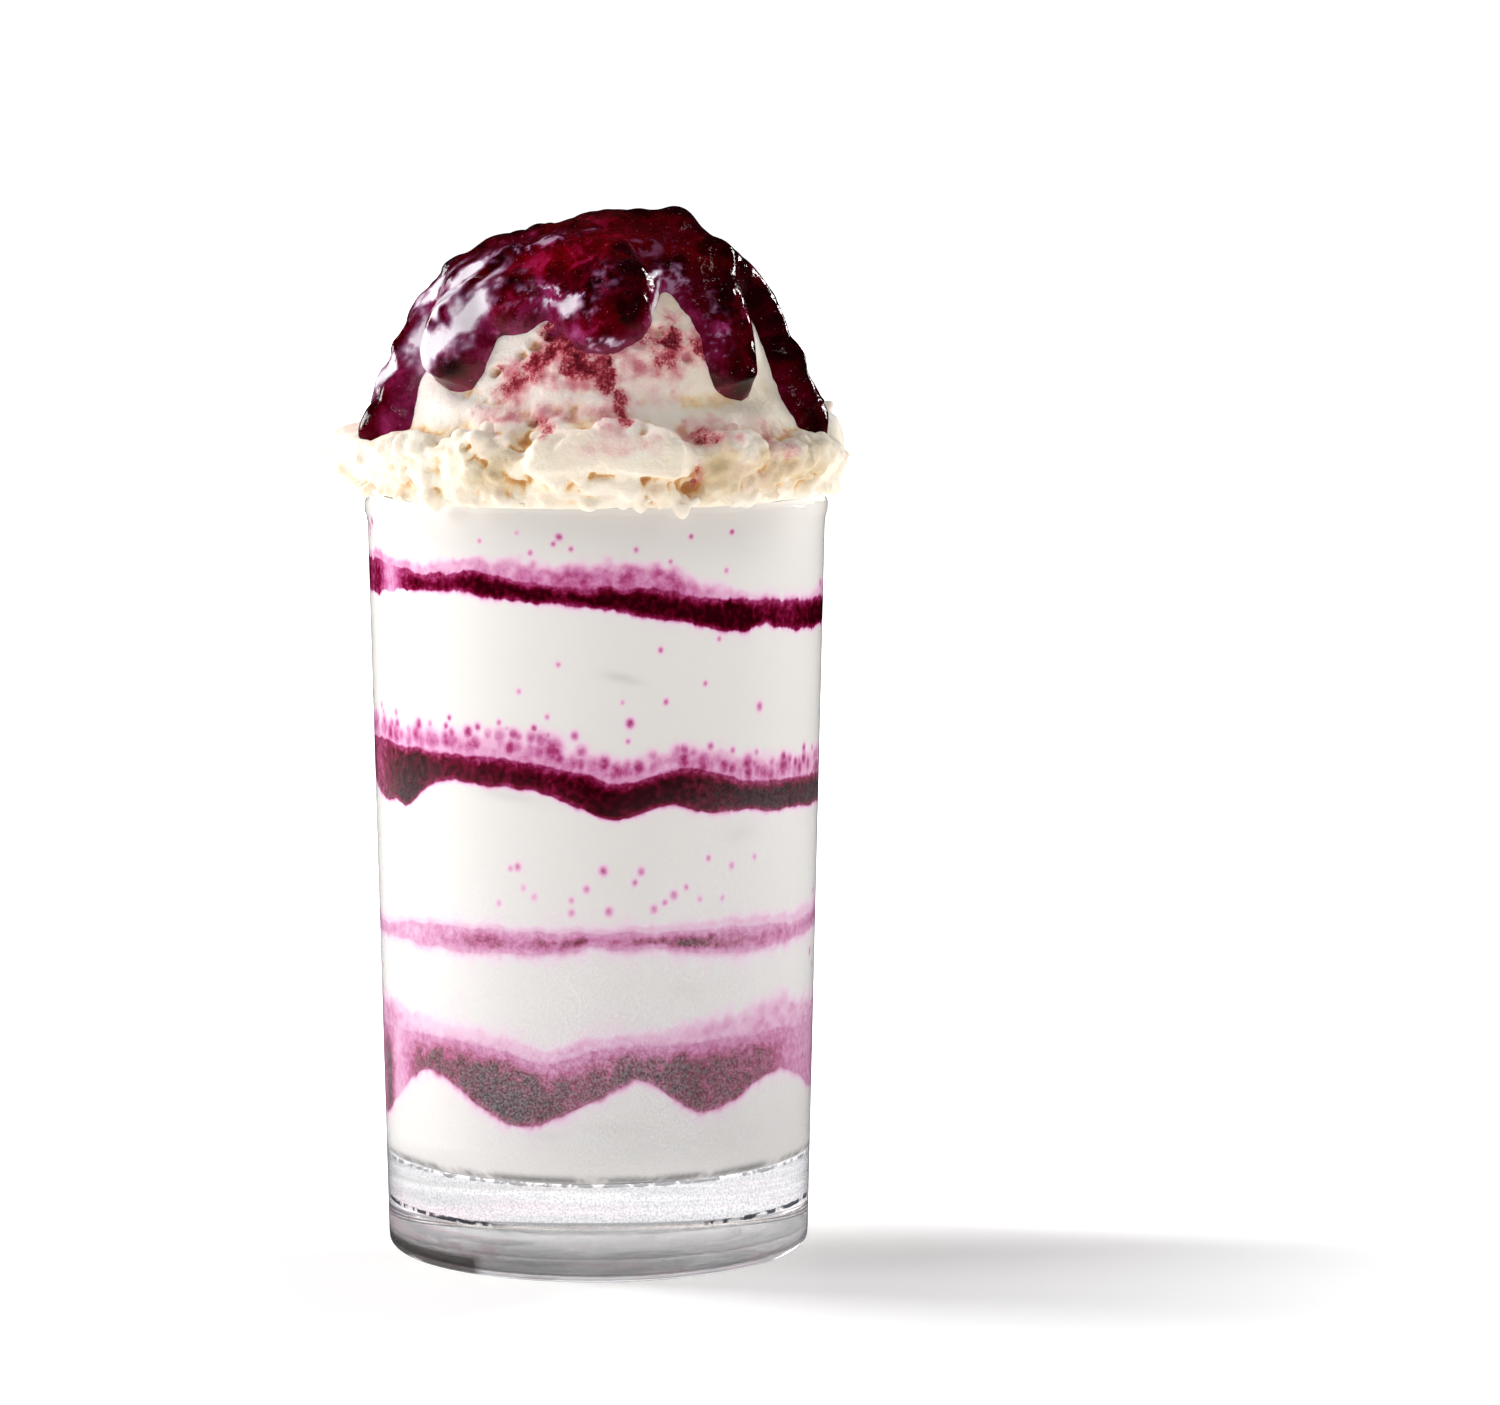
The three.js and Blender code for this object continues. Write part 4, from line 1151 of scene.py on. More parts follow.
# %% Melt the pieces into one skin
def melted(piece, others, cell_mm, smoothing):
    """Joins meshes, remeshes them by voxels of a size in millimetres, and smooths the result."""
    if others:
        with bpy.context.temp_override(active_object=piece, selected_editable_objects=[piece, *others]):
            bpy.ops.object.join()
    remesh = piece.modifiers.new("melt", "REMESH")
    remesh.mode = "VOXEL"
    remesh.voxel_size = cell_mm * MM
    remesh.use_smooth_shade = True
    settle = piece.modifiers.new("settle", "SMOOTH")
    settle.factor = 0.5
    settle.iterations = smoothing
    made = bpy.data.meshes.new_from_object(piece.evaluated_get(bpy.context.evaluated_depsgraph_get()))
    piece.modifiers.clear()
    old = piece.data
    piece.data = made
    bpy.data.meshes.remove(old)
    print(piece.name, "melted to", len(made.polygons), "faces")


melted(scoop, [crumbs], cell_mm=0.5, smoothing=1)

# %% [markdown]
# Where a surface curves inwards it gathers shade and warmth, which the ice cream gets as painted
# shade, and that can be measured: smooth the skin many times, and see how far each point would have
# to move outwards to follow. Averaging each point with its neighbours, over all edges at once, does
# this in a few lines.

# %% How hollow each place is
def hollowness(piece, rounds):
    """How far, in mm, a point lies below its surroundings after the given rounds of averaging."""
    mesh = piece.data
    ends = np.empty(len(mesh.edges) * 2, np.int32)
    mesh.edges.foreach_get("vertices", ends)
    a, b = ends.reshape(-1, 2).T
    count = np.bincount(a, minlength=len(mesh.vertices)) + np.bincount(b, minlength=len(mesh.vertices))
    points = points_of(piece)
    smooth = points.copy()
    for _ in range(rounds):
        total = np.stack([np.bincount(a, smooth[b, i], len(points)) + np.bincount(b, smooth[a, i], len(points))
                          for i in range(3)], -1)
        smooth = 0.3 * smooth + 0.7 * total / count[:, None]
    return ((smooth - points) * normals_of(piece)).sum(-1)


def where_on_scoop(points):
    """Degrees from the front and height of points."""
    return np.degrees(np.arctan2(points[:, 0], -points[:, 1])), points[:, 2]


# %% [markdown]
# The finest crumb is pushed into the new skin along its own directions. On the ball it is a fine
# icy grain, with a few patches of coarse crystals where the fruit ripple broke it. On the skirt it
# is coarser.

# %% Ice grain and crumb
points = points_of(scoop)
degrees, height = where_on_scoop(points)
crumbly = np.clip(crumble(degrees, height + 1.2 * noise(points, 5, 41)), 0, 1)
grain_away, _ = grains(points, 1.5, 42)
round_grains = np.sqrt(np.clip(1 - grain_away**2, 0, 1)) - 0.75
puffs = puffy(points, 2.1, 40) - 0.4
torn_crumb = 0.1 * round_grains + 0.18 * layered_noise(points, 1.7, 2, 43) + 0.3 * puffs
icy = 0.07 * noise(points, 0.9, 44) + 0.14 * noise(points * [1, 1, 1.4], 2.6, 45)
# A torn band runs across the ball where the ripple broke it, from upper right to lower left.
torn_line = 149.0 + 0.14 * degrees + 2.2 * noise(points, 9, 46)
torn = bell(height - torn_line, 3.0) * within(degrees, -40, 34, 8)
small_away, _ = grains(points, 0.9, 38)
broken_ice = 0.3 * (0.7 - small_away) + 0.36 * noise(points, 2.0, 47) + 0.34 * (puffy(points, 3.0, 39) - 0.5)
rise = crumbly * torn_crumb + (1 - crumbly) * (icy + torn * broken_ice)

# %% [markdown]
# Last come the small holes that air left. Then the points are moved, less near the flat underside,
# and crumb that would stand out past the solids' box is pressed back by most of that.

# %% Holes, and moving the points
BOX_REACH, PRESSED_BACK = 41.8, 0.7
# Small holes, as [degrees, height, radius, depth].
HOLES = [
    (-32.5, 147.4, 0.9, 2.2), (-20, 152, 1.4, 1.3), (-15.5, 153.6, 1.5, 1.2), (-24, 150.4, 1.1, 1),
    (-11, 154.6, 1.3, 1), (-28.8, 135, 1, 1), (-27.2, 134.3, 1.2, 1.2), (-25.6, 133.5, 1, 1), (-18, 139.9, 1, 1),
    (26.5, 136.9, 1.2, 1.2), (46, 135.4, 1.1, 1.1), (24, 152.4, 1.4, 1), (29, 149.6, 1.1, 0.9),
    (20, 153.8, 1.2, 0.8), (38, 137.6, 1.1, 1), (9, 136.2, 0.9, 0.8), (13, 135, 0.7, 0.8), (54, 133.2, 1.2, 1.1),
    (-4, 135.4, 0.7, 0.7), (-1, 134.9, 0.6, 0.6), (4, 135.2, 0.8, 0.7), (17, 130.2, 0.9, 1),
]
for at, z, radius, depth in HOLES:
    spot = on_skin(at, z)
    away = np.linalg.norm(points - spot, axis=1) * (1 + 0.25 * noise(points, 1.2, 48))
    rise = rise - depth * (1 - step_up(0.45, 1.15, away / radius))
keep = step_up(UNDERSIDE + 0.1, UNDERSIDE + 0.8, height)
moved = points + normals_of(scoop) * (rise * keep)[:, None]
moved[:, 1] -= np.sign(moved[:, 1]) * PRESSED_BACK * np.maximum(np.abs(moved[:, 1]) - BOX_REACH, 0)
move_points(scoop, moved)
print("crumb moves points by up to", round(float(np.abs(rise * keep).max()), 2), "mm")

# %% [markdown]
# The ripple is fruit sauce folded through the ice cream: a torn, icy, dark red patch under the
# sauce in front, pink clouds round it, and faint stains elsewhere. Each is an oval on the skin,
# with its edge broken up by noise. Hollows between crumbs get painted shade, darker and warmer,
# because light that enters ice cream comes out of them warmer, and so do smooth shaded places on
# the skirt.

# %% Ripple, stains and painted shade
# Dark ripple and pink stains, as [degrees, height, half width, half height, lean, strength].
RIPPLES = [
    (-9, 153, 5.4, 3.4, -0.2, 1), (-6, 149.6, 4.4, 3.2, -0.2, 1), (1, 152.6, 4.2, 2.4, 0, 0.9),
    (-17, 149, 4, 2.2, 0.5, 0.9), (-24, 145.8, 4.4, 1.9, 0.5, 0.7), (-31, 143.4, 4, 1.7, 0.5, 0.5),
    (3, 147.4, 1.9, 3.6, 0.1, 0.85), (7, 142.6, 1.5, 4, 0.05, 0.7), (14, 154, 3, 2.2, 0.3, 0.45),
    (25, 152.6, 3.8, 3, 0.5, 0.8), (34, 151.2, 2.6, 2.2, 0.4, 0.7), (21, 149.8, 2.4, 2.6, 0.4, 0.6),
    (28, 137.3, 2.4, 1.3, 0, 0.5), (48, 135.3, 2, 1.6, 0, 0.4), (57, 137.6, 1.6, 1.4, 0, 0.3),
    (-17, 139.8, 1.8, 1.1, 0, 0.55), (-12, 138.3, 1.2, 1, 0, 0.5), (-31, 147.7, 1.1, 1, 0, 1),
    (24.5, 131, 1, 3, 0, 0.38), (-84, 138.6, 2.4, 0.8, 0, 0.7), (150, 148, 6, 3, 0.4, 0.8),
    (200, 144, 5, 4, -0.3, 0.8), (120, 142, 4, 3, 0.5, 0.6), (235, 150, 4, 3, 0.3, 0.6), (175, 138, 5, 2, 0, 0.5),
]
PINKS = [
    (-22, 147, 10, 5.6, 0.4, 1), (-4, 148.6, 10, 7.5, 0, 1), (12, 150.5, 7.5, 7.5, 0.3, 1),
    (28, 151, 6.5, 7, 0.4, 0.95), (-14, 140.6, 9, 2.8, 0.1, 0.85), (5, 142.4, 6, 5, 0, 0.8),
    (28, 138, 7, 3, 0.1, 0.7), (46, 138, 6, 4.5, 0.2, 0.6), (6, 136.2, 8, 2.4, 0.1, 0.55),
    (-34, 142, 5, 3, 0.3, 0.6), (-60, 137.5, 5, 2.4, 0, 0.35), (-84, 138, 5, 2.4, 0, 0.5), (36, 131, 5, 3, 0, 0.3),
    (18, 145, 6, 4, 0.2, 0.5), (38, 146, 4, 5, 0, 0.4), (150, 146, 12, 7, 0.3, 0.85), (205, 143, 10, 6, -0.3, 0.85),
    (120, 141, 9, 5, 0.4, 0.7), (238, 148, 8, 6, 0.2, 0.7), (180, 136, 14, 4, 0, 0.5), (90, 146, 5, 4, 0, 0.35),
]
# Places that stayed clean, and smooth places on the skirt that lie in shade, which get painted shade, darker and
# creamier.
CLEAN = [
    (-3, 143.4, 5, 1.5, -0.2, 0.85), (-25, 152.6, 4, 2.6, 0.5, 0.8), (-44, 142, 9, 4, 0.2, 0.9),
    (40, 143.5, 7, 4, 0.2, 0.7), (60, 142, 6, 6, 0, 0.8),
]
SKIRT_PAINTED_SHADE = [
    (-24, 130.8, 4.5, 3.2, 0.2, 0.6), (29, 131.5, 4.5, 5, 0, 0.7), (42, 131.5, 7, 5, 0, 0.7),
    (55, 132, 6, 4.5, 0, 0.5),
]
print("stains:", len(RIPPLES), "dark,", len(PINKS), "pink")

# %% Painting the ice cream
def ovals(points, places, seed, rag):
    """The strongest of several leaning ovals at each point, their edges moved by noise of several sizes."""
    degrees, height = where_on_scoop(points)
    radius = np.hypot(points[:, 0], points[:, 1])
    edge = rag * (layered_noise(points, 4.5, 4, seed, 0.62))
    most = np.zeros(len(points))
    for at, z, wide, tall, lean, strength in places:
        x = np.radians(turn(degrees - at)) * radius
        y = height - z
        across, up = x * np.cos(lean) + y * np.sin(lean), y * np.cos(lean) - x * np.sin(lean)
        away = np.hypot(across / wide, up / tall)
        most = np.maximum(most, strength * (1 - step_up(0.35, 1.25, away + edge)))
    return most


points = points_of(scoop)
degrees, height = where_on_scoop(points)
dents = hollowness(scoop, rounds=14)
wide_dents = hollowness(scoop, rounds=120)
clean = 1 - ovals(points, CLEAN, 52, 0.5)
icy_share = np.clip(0.86 + 0.5 * layered_noise(points, 1.7, 3, 57), 0, 1)
ripple = clean * ovals(points, RIPPLES, 51, 0.62) * icy_share
paint(scoop, "ripple", np.clip(ripple + 0.7 * ripple * np.clip(dents, -0.3, 0.4), 0, 1))
paint(scoop, "pink", clean * ovals(points, PINKS, 53, 0.5) * (0.8 + 0.5 * layered_noise(points, 2.4, 3, 54)))
# Painted shade: hollows get a darker, warmer colour.
paint(scoop, "hollow", step_up(0.1, 0.7, dents * 1.2 + np.clip(wide_dents, -0.6, 1.4) * 0.35))
# Painted shade on the smooth shaded places of the skirt.
paint(scoop, "dusky", 1.4 * ovals(points, SKIRT_PAINTED_SHADE, 56, 0.4))
# The skirt's creamier colour, and on the right side, from 16 to 70 degrees, the same colour as painted shade.
low_down = 1 - step_up(136.5, 141.0, height + 1.5 * noise(points, 4, 55))
paint(scoop, "skirt", np.maximum(low_down, within(degrees, 16, 70, 14)))
print("ripple covers", round(float((ripple > 0.4).mean()) * 100, 1), "% of the scoop's points")

# %% [markdown]
# Vanilla ice cream is frozen foam: matt, ivory, and so full of tiny bubbles that light wanders a
# couple of millimetres inside it before it comes out. That needs subsurface scattering, or it
# looks like plaster. The skirt is a little yellower than the ball, and the same yellower colour on
# the right side is painted shade, as are the hollows and shaded places. The finest grain, ice
# crystals under half a millimetre, is only a bump.

# %% Rippled ice cream
def rippled_ice_cream():
    """Ivory, over which each painted number mixes its own colour, read at the number plus a grainy shift."""
    finish, add = new_finish("rippled_vanilla_ice_cream")
    place = add("TexCoord").outputs["Object"]
    read = {name: add("Attribute", {"attribute_name": name}).outputs["Fac"]
            for name in ("ripple", "pink", "hollow", "skirt", "dusky")}
    clouds = add("TexNoise", values={"Scale": 120, "Detail": 4, "Roughness": 0.6}, links={"Vector": place})
    ivory = add("ValToRGB", links={"Fac": clouds}, stops=[(0.3, "#f3e4da"), (0.7, "#fbf2ec")])
    cream = add("ValToRGB", links={"Fac": clouds}, stops=[(0.3, "#efdfc8"), (0.7, "#f8efe0")])
    # Ivory on the ball, creamier on the skirt; on the right side the creamier colour is painted shade.
    colour = add("Mix", "RGBA", links={0: read["skirt"], 6: ivory, 7: cream}).outputs[2]
    # Painted shade: smooth shaded places on the skirt turn a darker, warmer cream.
    colour = add("Mix", "RGBA", {7: linear("#d6bf98")}, {0: read["dusky"], 6: colour}).outputs[2]
    # Crystals of half a millimetre catch the juice unevenly, so the stain is shifted from grain to grain.
    specks = add("TexNoise", values={"Scale": 2100, "Detail": 3, "Roughness": 0.75}, links={"Vector": place})
    shift = add("MapRange", ends=(0.3, 0.7, -0.55, 0.55), links={0: specks})
    # Painted shade in the hollows, darker and warmer, then the pink stains.
    for number, most, stops in (("hollow", 0.9, [(0.0, "#f8dc9a"), (0.5, "#f0c06c"), (1.0, "#ce9048")]),
                                ("pink", 1.0, [(0.1, "#f6dcd8"), (0.6, "#e4a6a9"), (1.0, "#cc7a85")])):
        grainy = add("Math", {"operation": "MULTIPLY_ADD", "use_clamp": True}, {1: 0.35}, {0: shift, 2: read[number]})
        tint = add("ValToRGB", links={"Fac": grainy}, stops=stops)
        share = add("Math", {"operation": "MULTIPLY", "use_clamp": True}, {1: most}, {0: read[number]})
        colour = add("Mix", "RGBA", links={0: share, 6: colour, 7: tint}).outputs[2]
    grainy = add("Math", {"operation": "MULTIPLY_ADD", "use_clamp": True},
                 links={0: shift, 1: read["ripple"], 2: read["ripple"]})
    red = add("ValToRGB", links={"Fac": grainy},
              stops=[(0.12, "#de9496"), (0.38, "#c45a66"), (0.68, "#972638"), (1.0, "#560614")])
    share = add("MapRange", ends=(0.05, 0.5), links={0: grainy})
    colour = add("Mix", "RGBA", links={0: share, 6: colour, 7: red}).outputs[2]
    crystals = add("TexNoise", values={"Scale": 1300, "Detail": 3, "Roughness": 0.7}, links={"Vector": place})
    bump = add("Bump", values={"Strength": 0.75, "Distance": 0.0004}, links={"Height": crystals})
    wet = add("MapRange", ends=(0.0, 1.0, 0.58, 0.32), links={0: read["ripple"]})
    body = add("BsdfPrincipled", values={"IOR": 1.36, "Subsurface Weight": 0.4,
                                         "Subsurface Radius": (1.0, 0.62, 0.42), "Subsurface Scale": 0.0009},
               links={"Base Color": colour, "Roughness": wet, "Normal": bump})
    add("OutputMaterial", links={"Surface": body})
    return finish


scoop.data.materials.append(rippled_ice_cream())
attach(scoop, "root")
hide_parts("scoop")

# %% [markdown]
# ## The poured sauce
# Thick fruit sauce was spooned over the ball and crept down in tongues that end in fat drops. It
# is a skin whose thickness is a function of the place: a coat over the top, tongues with heavier
# heads, and lumps where pieces of fruit lie under the gel. To keep the glossy top free of the
# pinched point where rings meet, the grid is square, unrolled from the top like a sheet of
# dough: a point's distance from the middle is how far down the scoop it lies. Its outline is
# the largest of a hem round the top and the tongues, rounded where they meet, less the bites.

# %% Where the sauce lies
# Each tongue: from and to round the ball in degrees, its tip's height, its width, its head's thickness.
TONGUES = [
    (-91, -66, 136, 10.5, 4.8), (-52, -48, 144.2, 14, 5), (-34, -30, 153.4, 13, 2.6), (0, 2.5, 150.4, 17.5, 3.2),
    (42, 47.5, 142.8, 12.5, 3.6), (92, 72, 136.2, 11.5, 4.2), (112, 119, 147.5, 11, 3.2), (150, 146, 140.5, 12, 3.5),
    (184, 188, 149, 14, 3.3), (226, 223, 139.2, 10, 3.3), (256, 252, 147, 10, 3),
]
# Bites of bare ice cream between tongues: [degrees at its top and low down, degrees down of its top, width].
BITES = [(64.5, 57, 60, 6.5)]
COAT, SAUCE_EDGE, SOFT_CORNER, RUN_START = 2.1, 2.6, 3.5, 15
HEM_DEGREES = 57
HEM = BALL_SPAN * HEM_DEGREES / BALL_DEGREES


def down_to_share(angle, down):
    """The share of the profile that lies this many mm down from the top."""
    ball = BALL_SPAN * ball_end(angle) / BALL_TILT
    return np.where(down <= ball, down / ball, 1 + (down - ball) / NECK_SPAN)


def share_to_down(angle, share):
    """How many mm down from the top a share of the profile lies."""
    ball = BALL_SPAN * ball_end(angle) / BALL_TILT
    return np.where(share <= 1, share * ball, ball + (share - 1) * NECK_SPAN)


def share_at(degrees, height):
    """The share at which the profile comes down to a height."""
    shares = np.linspace(0, 3, 3001)
    z = scoop_profile(np.full(len(shares), np.radians(degrees)), shares)[:, 1]
    return float(shares[np.argmax(z <= height)])


def rounded_max(a, b, blend):
    """The larger of two values, rounded off where they are close."""
    h = np.maximum(blend - np.abs(a - b), 0) / blend
    return np.maximum(a, b) + h * h * blend / 4


RUNS = [(start, end, wide, head, float(share_to_down(np.radians(end), share_at(end, tip))) - wide / 2)
        for start, end, tip, wide, head in TONGUES]


def inside_sauce(angle, down, r):
    """How far inside the sauce's outline a place lies, in mm: positive under sauce, negative outside."""
    degrees = np.degrees(angle)
    dips = 4 * bell(turn(degrees - 31), 9), 3 * bell(turn(degrees + 20), 8)
    inside = HEM + np.sin(4 * angle + 1) - dips[0] - dips[1] - down
    for start, end, wide, head, centre in RUNS:
        run = np.clip((down - RUN_START) / (centre - RUN_START), 0, 1)
        side = np.radians(turn(degrees - start - (end - start) * run)) * r
        past = np.maximum(down - centre, 0)
        inside = rounded_max(inside, wide / 2 - np.hypot(side, past), SOFT_CORNER)
    for start, end, top, wide in BITES:
        beyond = down - BALL_SPAN * top / BALL_DEGREES
        side = np.radians(turn(degrees - start - (end - start) * np.clip(beyond / 22, 0, 1))) * r
        inside = -rounded_max(-inside, wide / 2 - np.hypot(side, np.minimum(beyond - wide / 2, 0)), 2.0)
    return inside


print("tongues end", [round(centre + wide / 2, 1) for _, _, wide, _, centre in RUNS], "mm down")

# %% [markdown]
# Fruit under the gel makes soft lumps, and where the sauce slid it lies in long folds. A fold
# follows a path on the ball, and its height falls off with the distance to that path, worked out
# for all points against each stretch of the path at once.

# %% Named fruit and folds
# Fruit, as [degrees round, degrees down from the top, rise, width].
FRUIT = [
    (70, 26, 3.7, 2.7), (76, 15, 1.5, 4.2), (80, 62, 1.8, 3.4), (83, 54, 1, 3.2), (77, 73, 1.4, 3),
    (79, 43, 0.8, 3.6), (64, 47, 1.5, 4.2), (66, 57, 1.6, 3.6), (-64, 33, 1.3, 3.2), (30, 8, 1, 6), (20, 12, 0.5, 5),
    (60, 40, 1, 3.2), (58, 52, 1.2, 3.2), (-78, 44, 0.7, 3.4), (-62, 52, 0.8, 3.6), (-40, 60, 1, 3.6),
    (-84, 62, 1.2, 3.2), (8, 52, 2, 3.8), (-12, 44, 0.8, 2.6), (-25, 30, 0.6, 4), (70, 64, 0.8, 2.4),
    (70, 77, 1.4, 3), (104, 62, 0.6, 3.4), (26, 24, 0.8, 3.4), (48, 62, 1.2, 3), (50, 48, 1, 2.6),
    (34, 42, 0.9, 2.6), (-56, 34, 0.6, 2.8), (-68, 70, 1.2, 2.8), (-48, 73, 0.8, 3), (-74, 77, 0.7, 3.2),
    (74, 90, 0.9, 2.8), (130, 35, 1.5, 4.4), (165, 55, 1.7, 4), (205, 30, 1.2, 4.6), (215, 60, 1.6, 3.8),
    (246, 46, 1.4, 4), (180, 14, 0.5, 5),
]
# Folds, as a path of [degrees round, degrees down] places, then its rise and half width.
FOLDS = [
    ([(-30, 52), (-42, 58), (-51, 67), (-55, 77)], 1.6, 2.3),
    ([(-44, 42), (-57, 51), (-66, 62), (-70, 72)], 1.2, 1.9),
    ([(-54, 34), (-68, 45), (-76, 58)], 0.6, 1.6),
    ([(-38, 70), (-27, 61), (-13, 57)], 0.8, 1.4),
    ([(-50, 36), (-34, 27), (-4, 22), (30, 20)], 0.7, 1.4),
    ([(-48, 43), (-22, 35), (12, 32), (44, 32), (64, 29)], 0.9, 2.2),
    ([(58, 27), (60, 40), (58, 54), (50, 66)], 1, 1.7),
    ([(8, 36), (6, 46), (4, 58)], 1, 2.2),
    ([(72, 52), (71, 64), (70, 78)], 0.7, 1.5),
    ([(-80, 50), (-79, 62), (-73, 76)], 0.8, 1.7),
    ([(58, 30), (57, 42), (58, 52), (64, 60), (72, 66)], 0.8, 0.8),
    ([(-45, 40), (-22, 40), (10, 38), (40, 34)], 0.5, 0.7),
    ([(54, 34), (50, 44), (46, 56)], 0.7, 1.2),
    ([(42, 36), (38, 46)], 0.6, 1.1),
    ([(110, 30), (140, 36), (165, 30)], 1, 2.4),
    ([(190, 40), (215, 44), (240, 36)], 1, 2.4),
]
print("fruit:", len(FRUIT), "folds:", len(FOLDS))

# %% How fruit and folds raise the sauce
def ball_place(degrees, down_degrees):
    """A point on the bare ball from its angle round and its angle down."""
    r, z = ball_point(np.radians(down_degrees)).T
    return around(r, np.radians(degrees), z)


def distance_to_path(points, path):
    """The distance from each point to the nearest stretch of a path of straight pieces."""
    nearest = np.full(points.shape[:-1], 1e9)
    for a, b in zip(path[:-1], path[1:]):
        along = b - a
        share = np.clip(((points - a) @ along) / (along @ along), 0, 1)
        nearest = np.minimum(nearest, np.linalg.norm(points - a - share[..., None] * along, axis=-1))
    return nearest


def fruit_bits(place):
    """Chopped fruit under the gel, 0 to 1: a rounded bump on each random spot, its size its own."""
    away, own = grains(place + 1.1 * noise(place, 5, 83)[..., None], 4.6, 84)
    return own * (1 - step_up(0.0, 0.66, away))


def fruit_lumps(degrees, down_degrees, radius):
    """The named pieces of fruit, summed as bells."""
    lumps = np.zeros_like(radius)
    for at, tilt, rise, wide in FRUIT:
        side = np.radians(turn(degrees - at)) * radius
        lumps = lumps + rise * bell(np.hypot(side, BALL_SPAN / BALL_DEGREES * (down_degrees - tilt)), wide)
    return lumps


def folds(place):
    """The folds of sliding sauce, summed."""
    return sum(rise * bell(distance_to_path(place, ball_place(*np.array(path, float).T)), wide)
               for path, rise, wide in FOLDS)


# %% [markdown]
# The thickness is the coat plus all that lies in it, times a rounded edge. Outside the outline it
# is negative, so that the skin dips under the ice cream instead of ending in a cut edge.

# %% How thick the sauce is
def sauce_thickness(angle, share, down):
    """The coat, the tongues' heads, fruit and folds, times a rounded edge that dips below the skin outside."""
    r, z, _ = profile_frame(angle, share)
    place = around(r, angle, z)
    degrees = np.degrees(angle)
    inside = inside_sauce(angle, down, r) + 0.5 * noise(place, 4.0, 81) + 0.25 * noise(place, 1.6, 82)
    heads = np.zeros_like(r)
    for _, end, wide, head, centre in RUNS:
        side = np.radians(turn(degrees - end)) * r
        heads = np.maximum(heads, (head - COAT) * bell(np.hypot(side, down - centre), wide / 2))
    plain = 1 - 0.7 * bell(turn(degrees - 88) / 16, 1) * step_up(8, 14, down) * (1 - step_up(36, 44, down))
    tilt = down * BALL_DEGREES / BALL_SPAN
    lumps = fruit_lumps(degrees, tilt, r) + (folds(place) + fruit_bits(place)) * plain
    # Fine wrinkles run down where the sauce is thin.
    wrinkles = 0.1 * noise(np.stack([angle * 14, down * 0.25, 0 * angle], -1), 1.0, 87)
    # On the tongue that faces the window, the sauce lies in short rumples.
    rumples = 0.6 * noise(place, 3.4, 98) * within(turn(degrees), -72, -34, 7) * step_up(20, 28, down)
    uneven = 0.28 * noise(place, 5.5, 85) + 0.2 * noise(place, 2.2, 86) + wrinkles + rumples
    body = COAT - 0.6 + heads + lumps + uneven
    # The edge is as round as the sauce is thick there.
    edge = np.clip(inside / np.maximum(SAUCE_EDGE, 0.9 * body), -1, 1)
    round_edge = 0.45 * np.sqrt(np.clip(1 - (1 - edge) ** 2, 0, 1)) + 0.55 * np.sin(edge * np.pi / 2)
    rounding = np.where(edge > 0, round_edge, np.maximum(inside / 1.6, -1) * 0.75)
    return np.maximum(body, 0.8) * rounding, inside


# %% [markdown]
# Only the part of the sheet near the sauce is kept. A copy of it, sunk under the ice cream's skin,
# closes it from below, and a strip of faces joins the two along the hem, out of sight inside the
# ice cream. The remesh then rounds it all over, like a liquid.

# %% Lay the sauce over the scoop
STEP = 0.44
across = np.arange(-60, 60 + STEP, STEP)
u, v = np.meshgrid(across, across)
down = np.hypot(u, v)
angle = np.arctan2(u, -v)
share = np.clip(down_to_share(angle, down), 0.0005, 2.6)
thick, inside = sauce_thickness(angle, share, down)
top_side = scoop_skin(angle, share, thick)
low_side = scoop_skin(angle, share, np.minimum(thick - 0.9, -1.5))
kept = (inside > -1.4) & (down_to_share(angle, down) < 2.45)
faces_kept = kept[:-1, :-1] & kept[1:, :-1] & kept[:-1, 1:] & kept[1:, 1:]
at = np.arange(kept.size).reshape(kept.shape)
sheet = np.stack([at[:-1, :-1], at[:-1, 1:], at[1:, 1:], at[1:, :-1]], -1)[faces_kept]
edges = np.concatenate([sheet[:, [i, (i + 1) % 4]] for i in range(4)])
key = np.sort(edges, axis=1) @ np.array([kept.size, 1])
_, first, count = np.unique(key, return_index=True, return_counts=True)
hem = edges[first[count == 1]]
sunk = sheet[:, ::-1] + kept.size
strip = np.stack([hem[:, 1], hem[:, 0], hem[:, 0] + kept.size, hem[:, 1] + kept.size], -1)
used, renamed = np.unique(np.concatenate([sheet, sunk, strip]), return_inverse=True)
points = np.concatenate([top_side.reshape(-1, 3), low_side.reshape(-1, 3)])[used]
sauce = new_piece("poured_sauce", points, renamed.reshape(-1, 4))
print("sauce sheet:", len(sheet), "faces on top")
melted(sauce, [], cell_mm=0.425, smoothing=4)

# %% [markdown]
# Seen through the gel, pieces of fruit are nearly black, the gel between them is wine-red, and a
# thin film over ice cream is magenta. Melted ice cream has run into the sauce too: it makes milky
# lobes and drawn-out streaks, most of all on the left, and froth along the lower edge. The white
# lobes and streaks on the left are partly painted reflection of the bright window there, and a
# thin white ribbon right of the middle tongue is partly a painted highlight. In some places the gel
# is a clear red. All of these are ovals again, as on the ice cream.

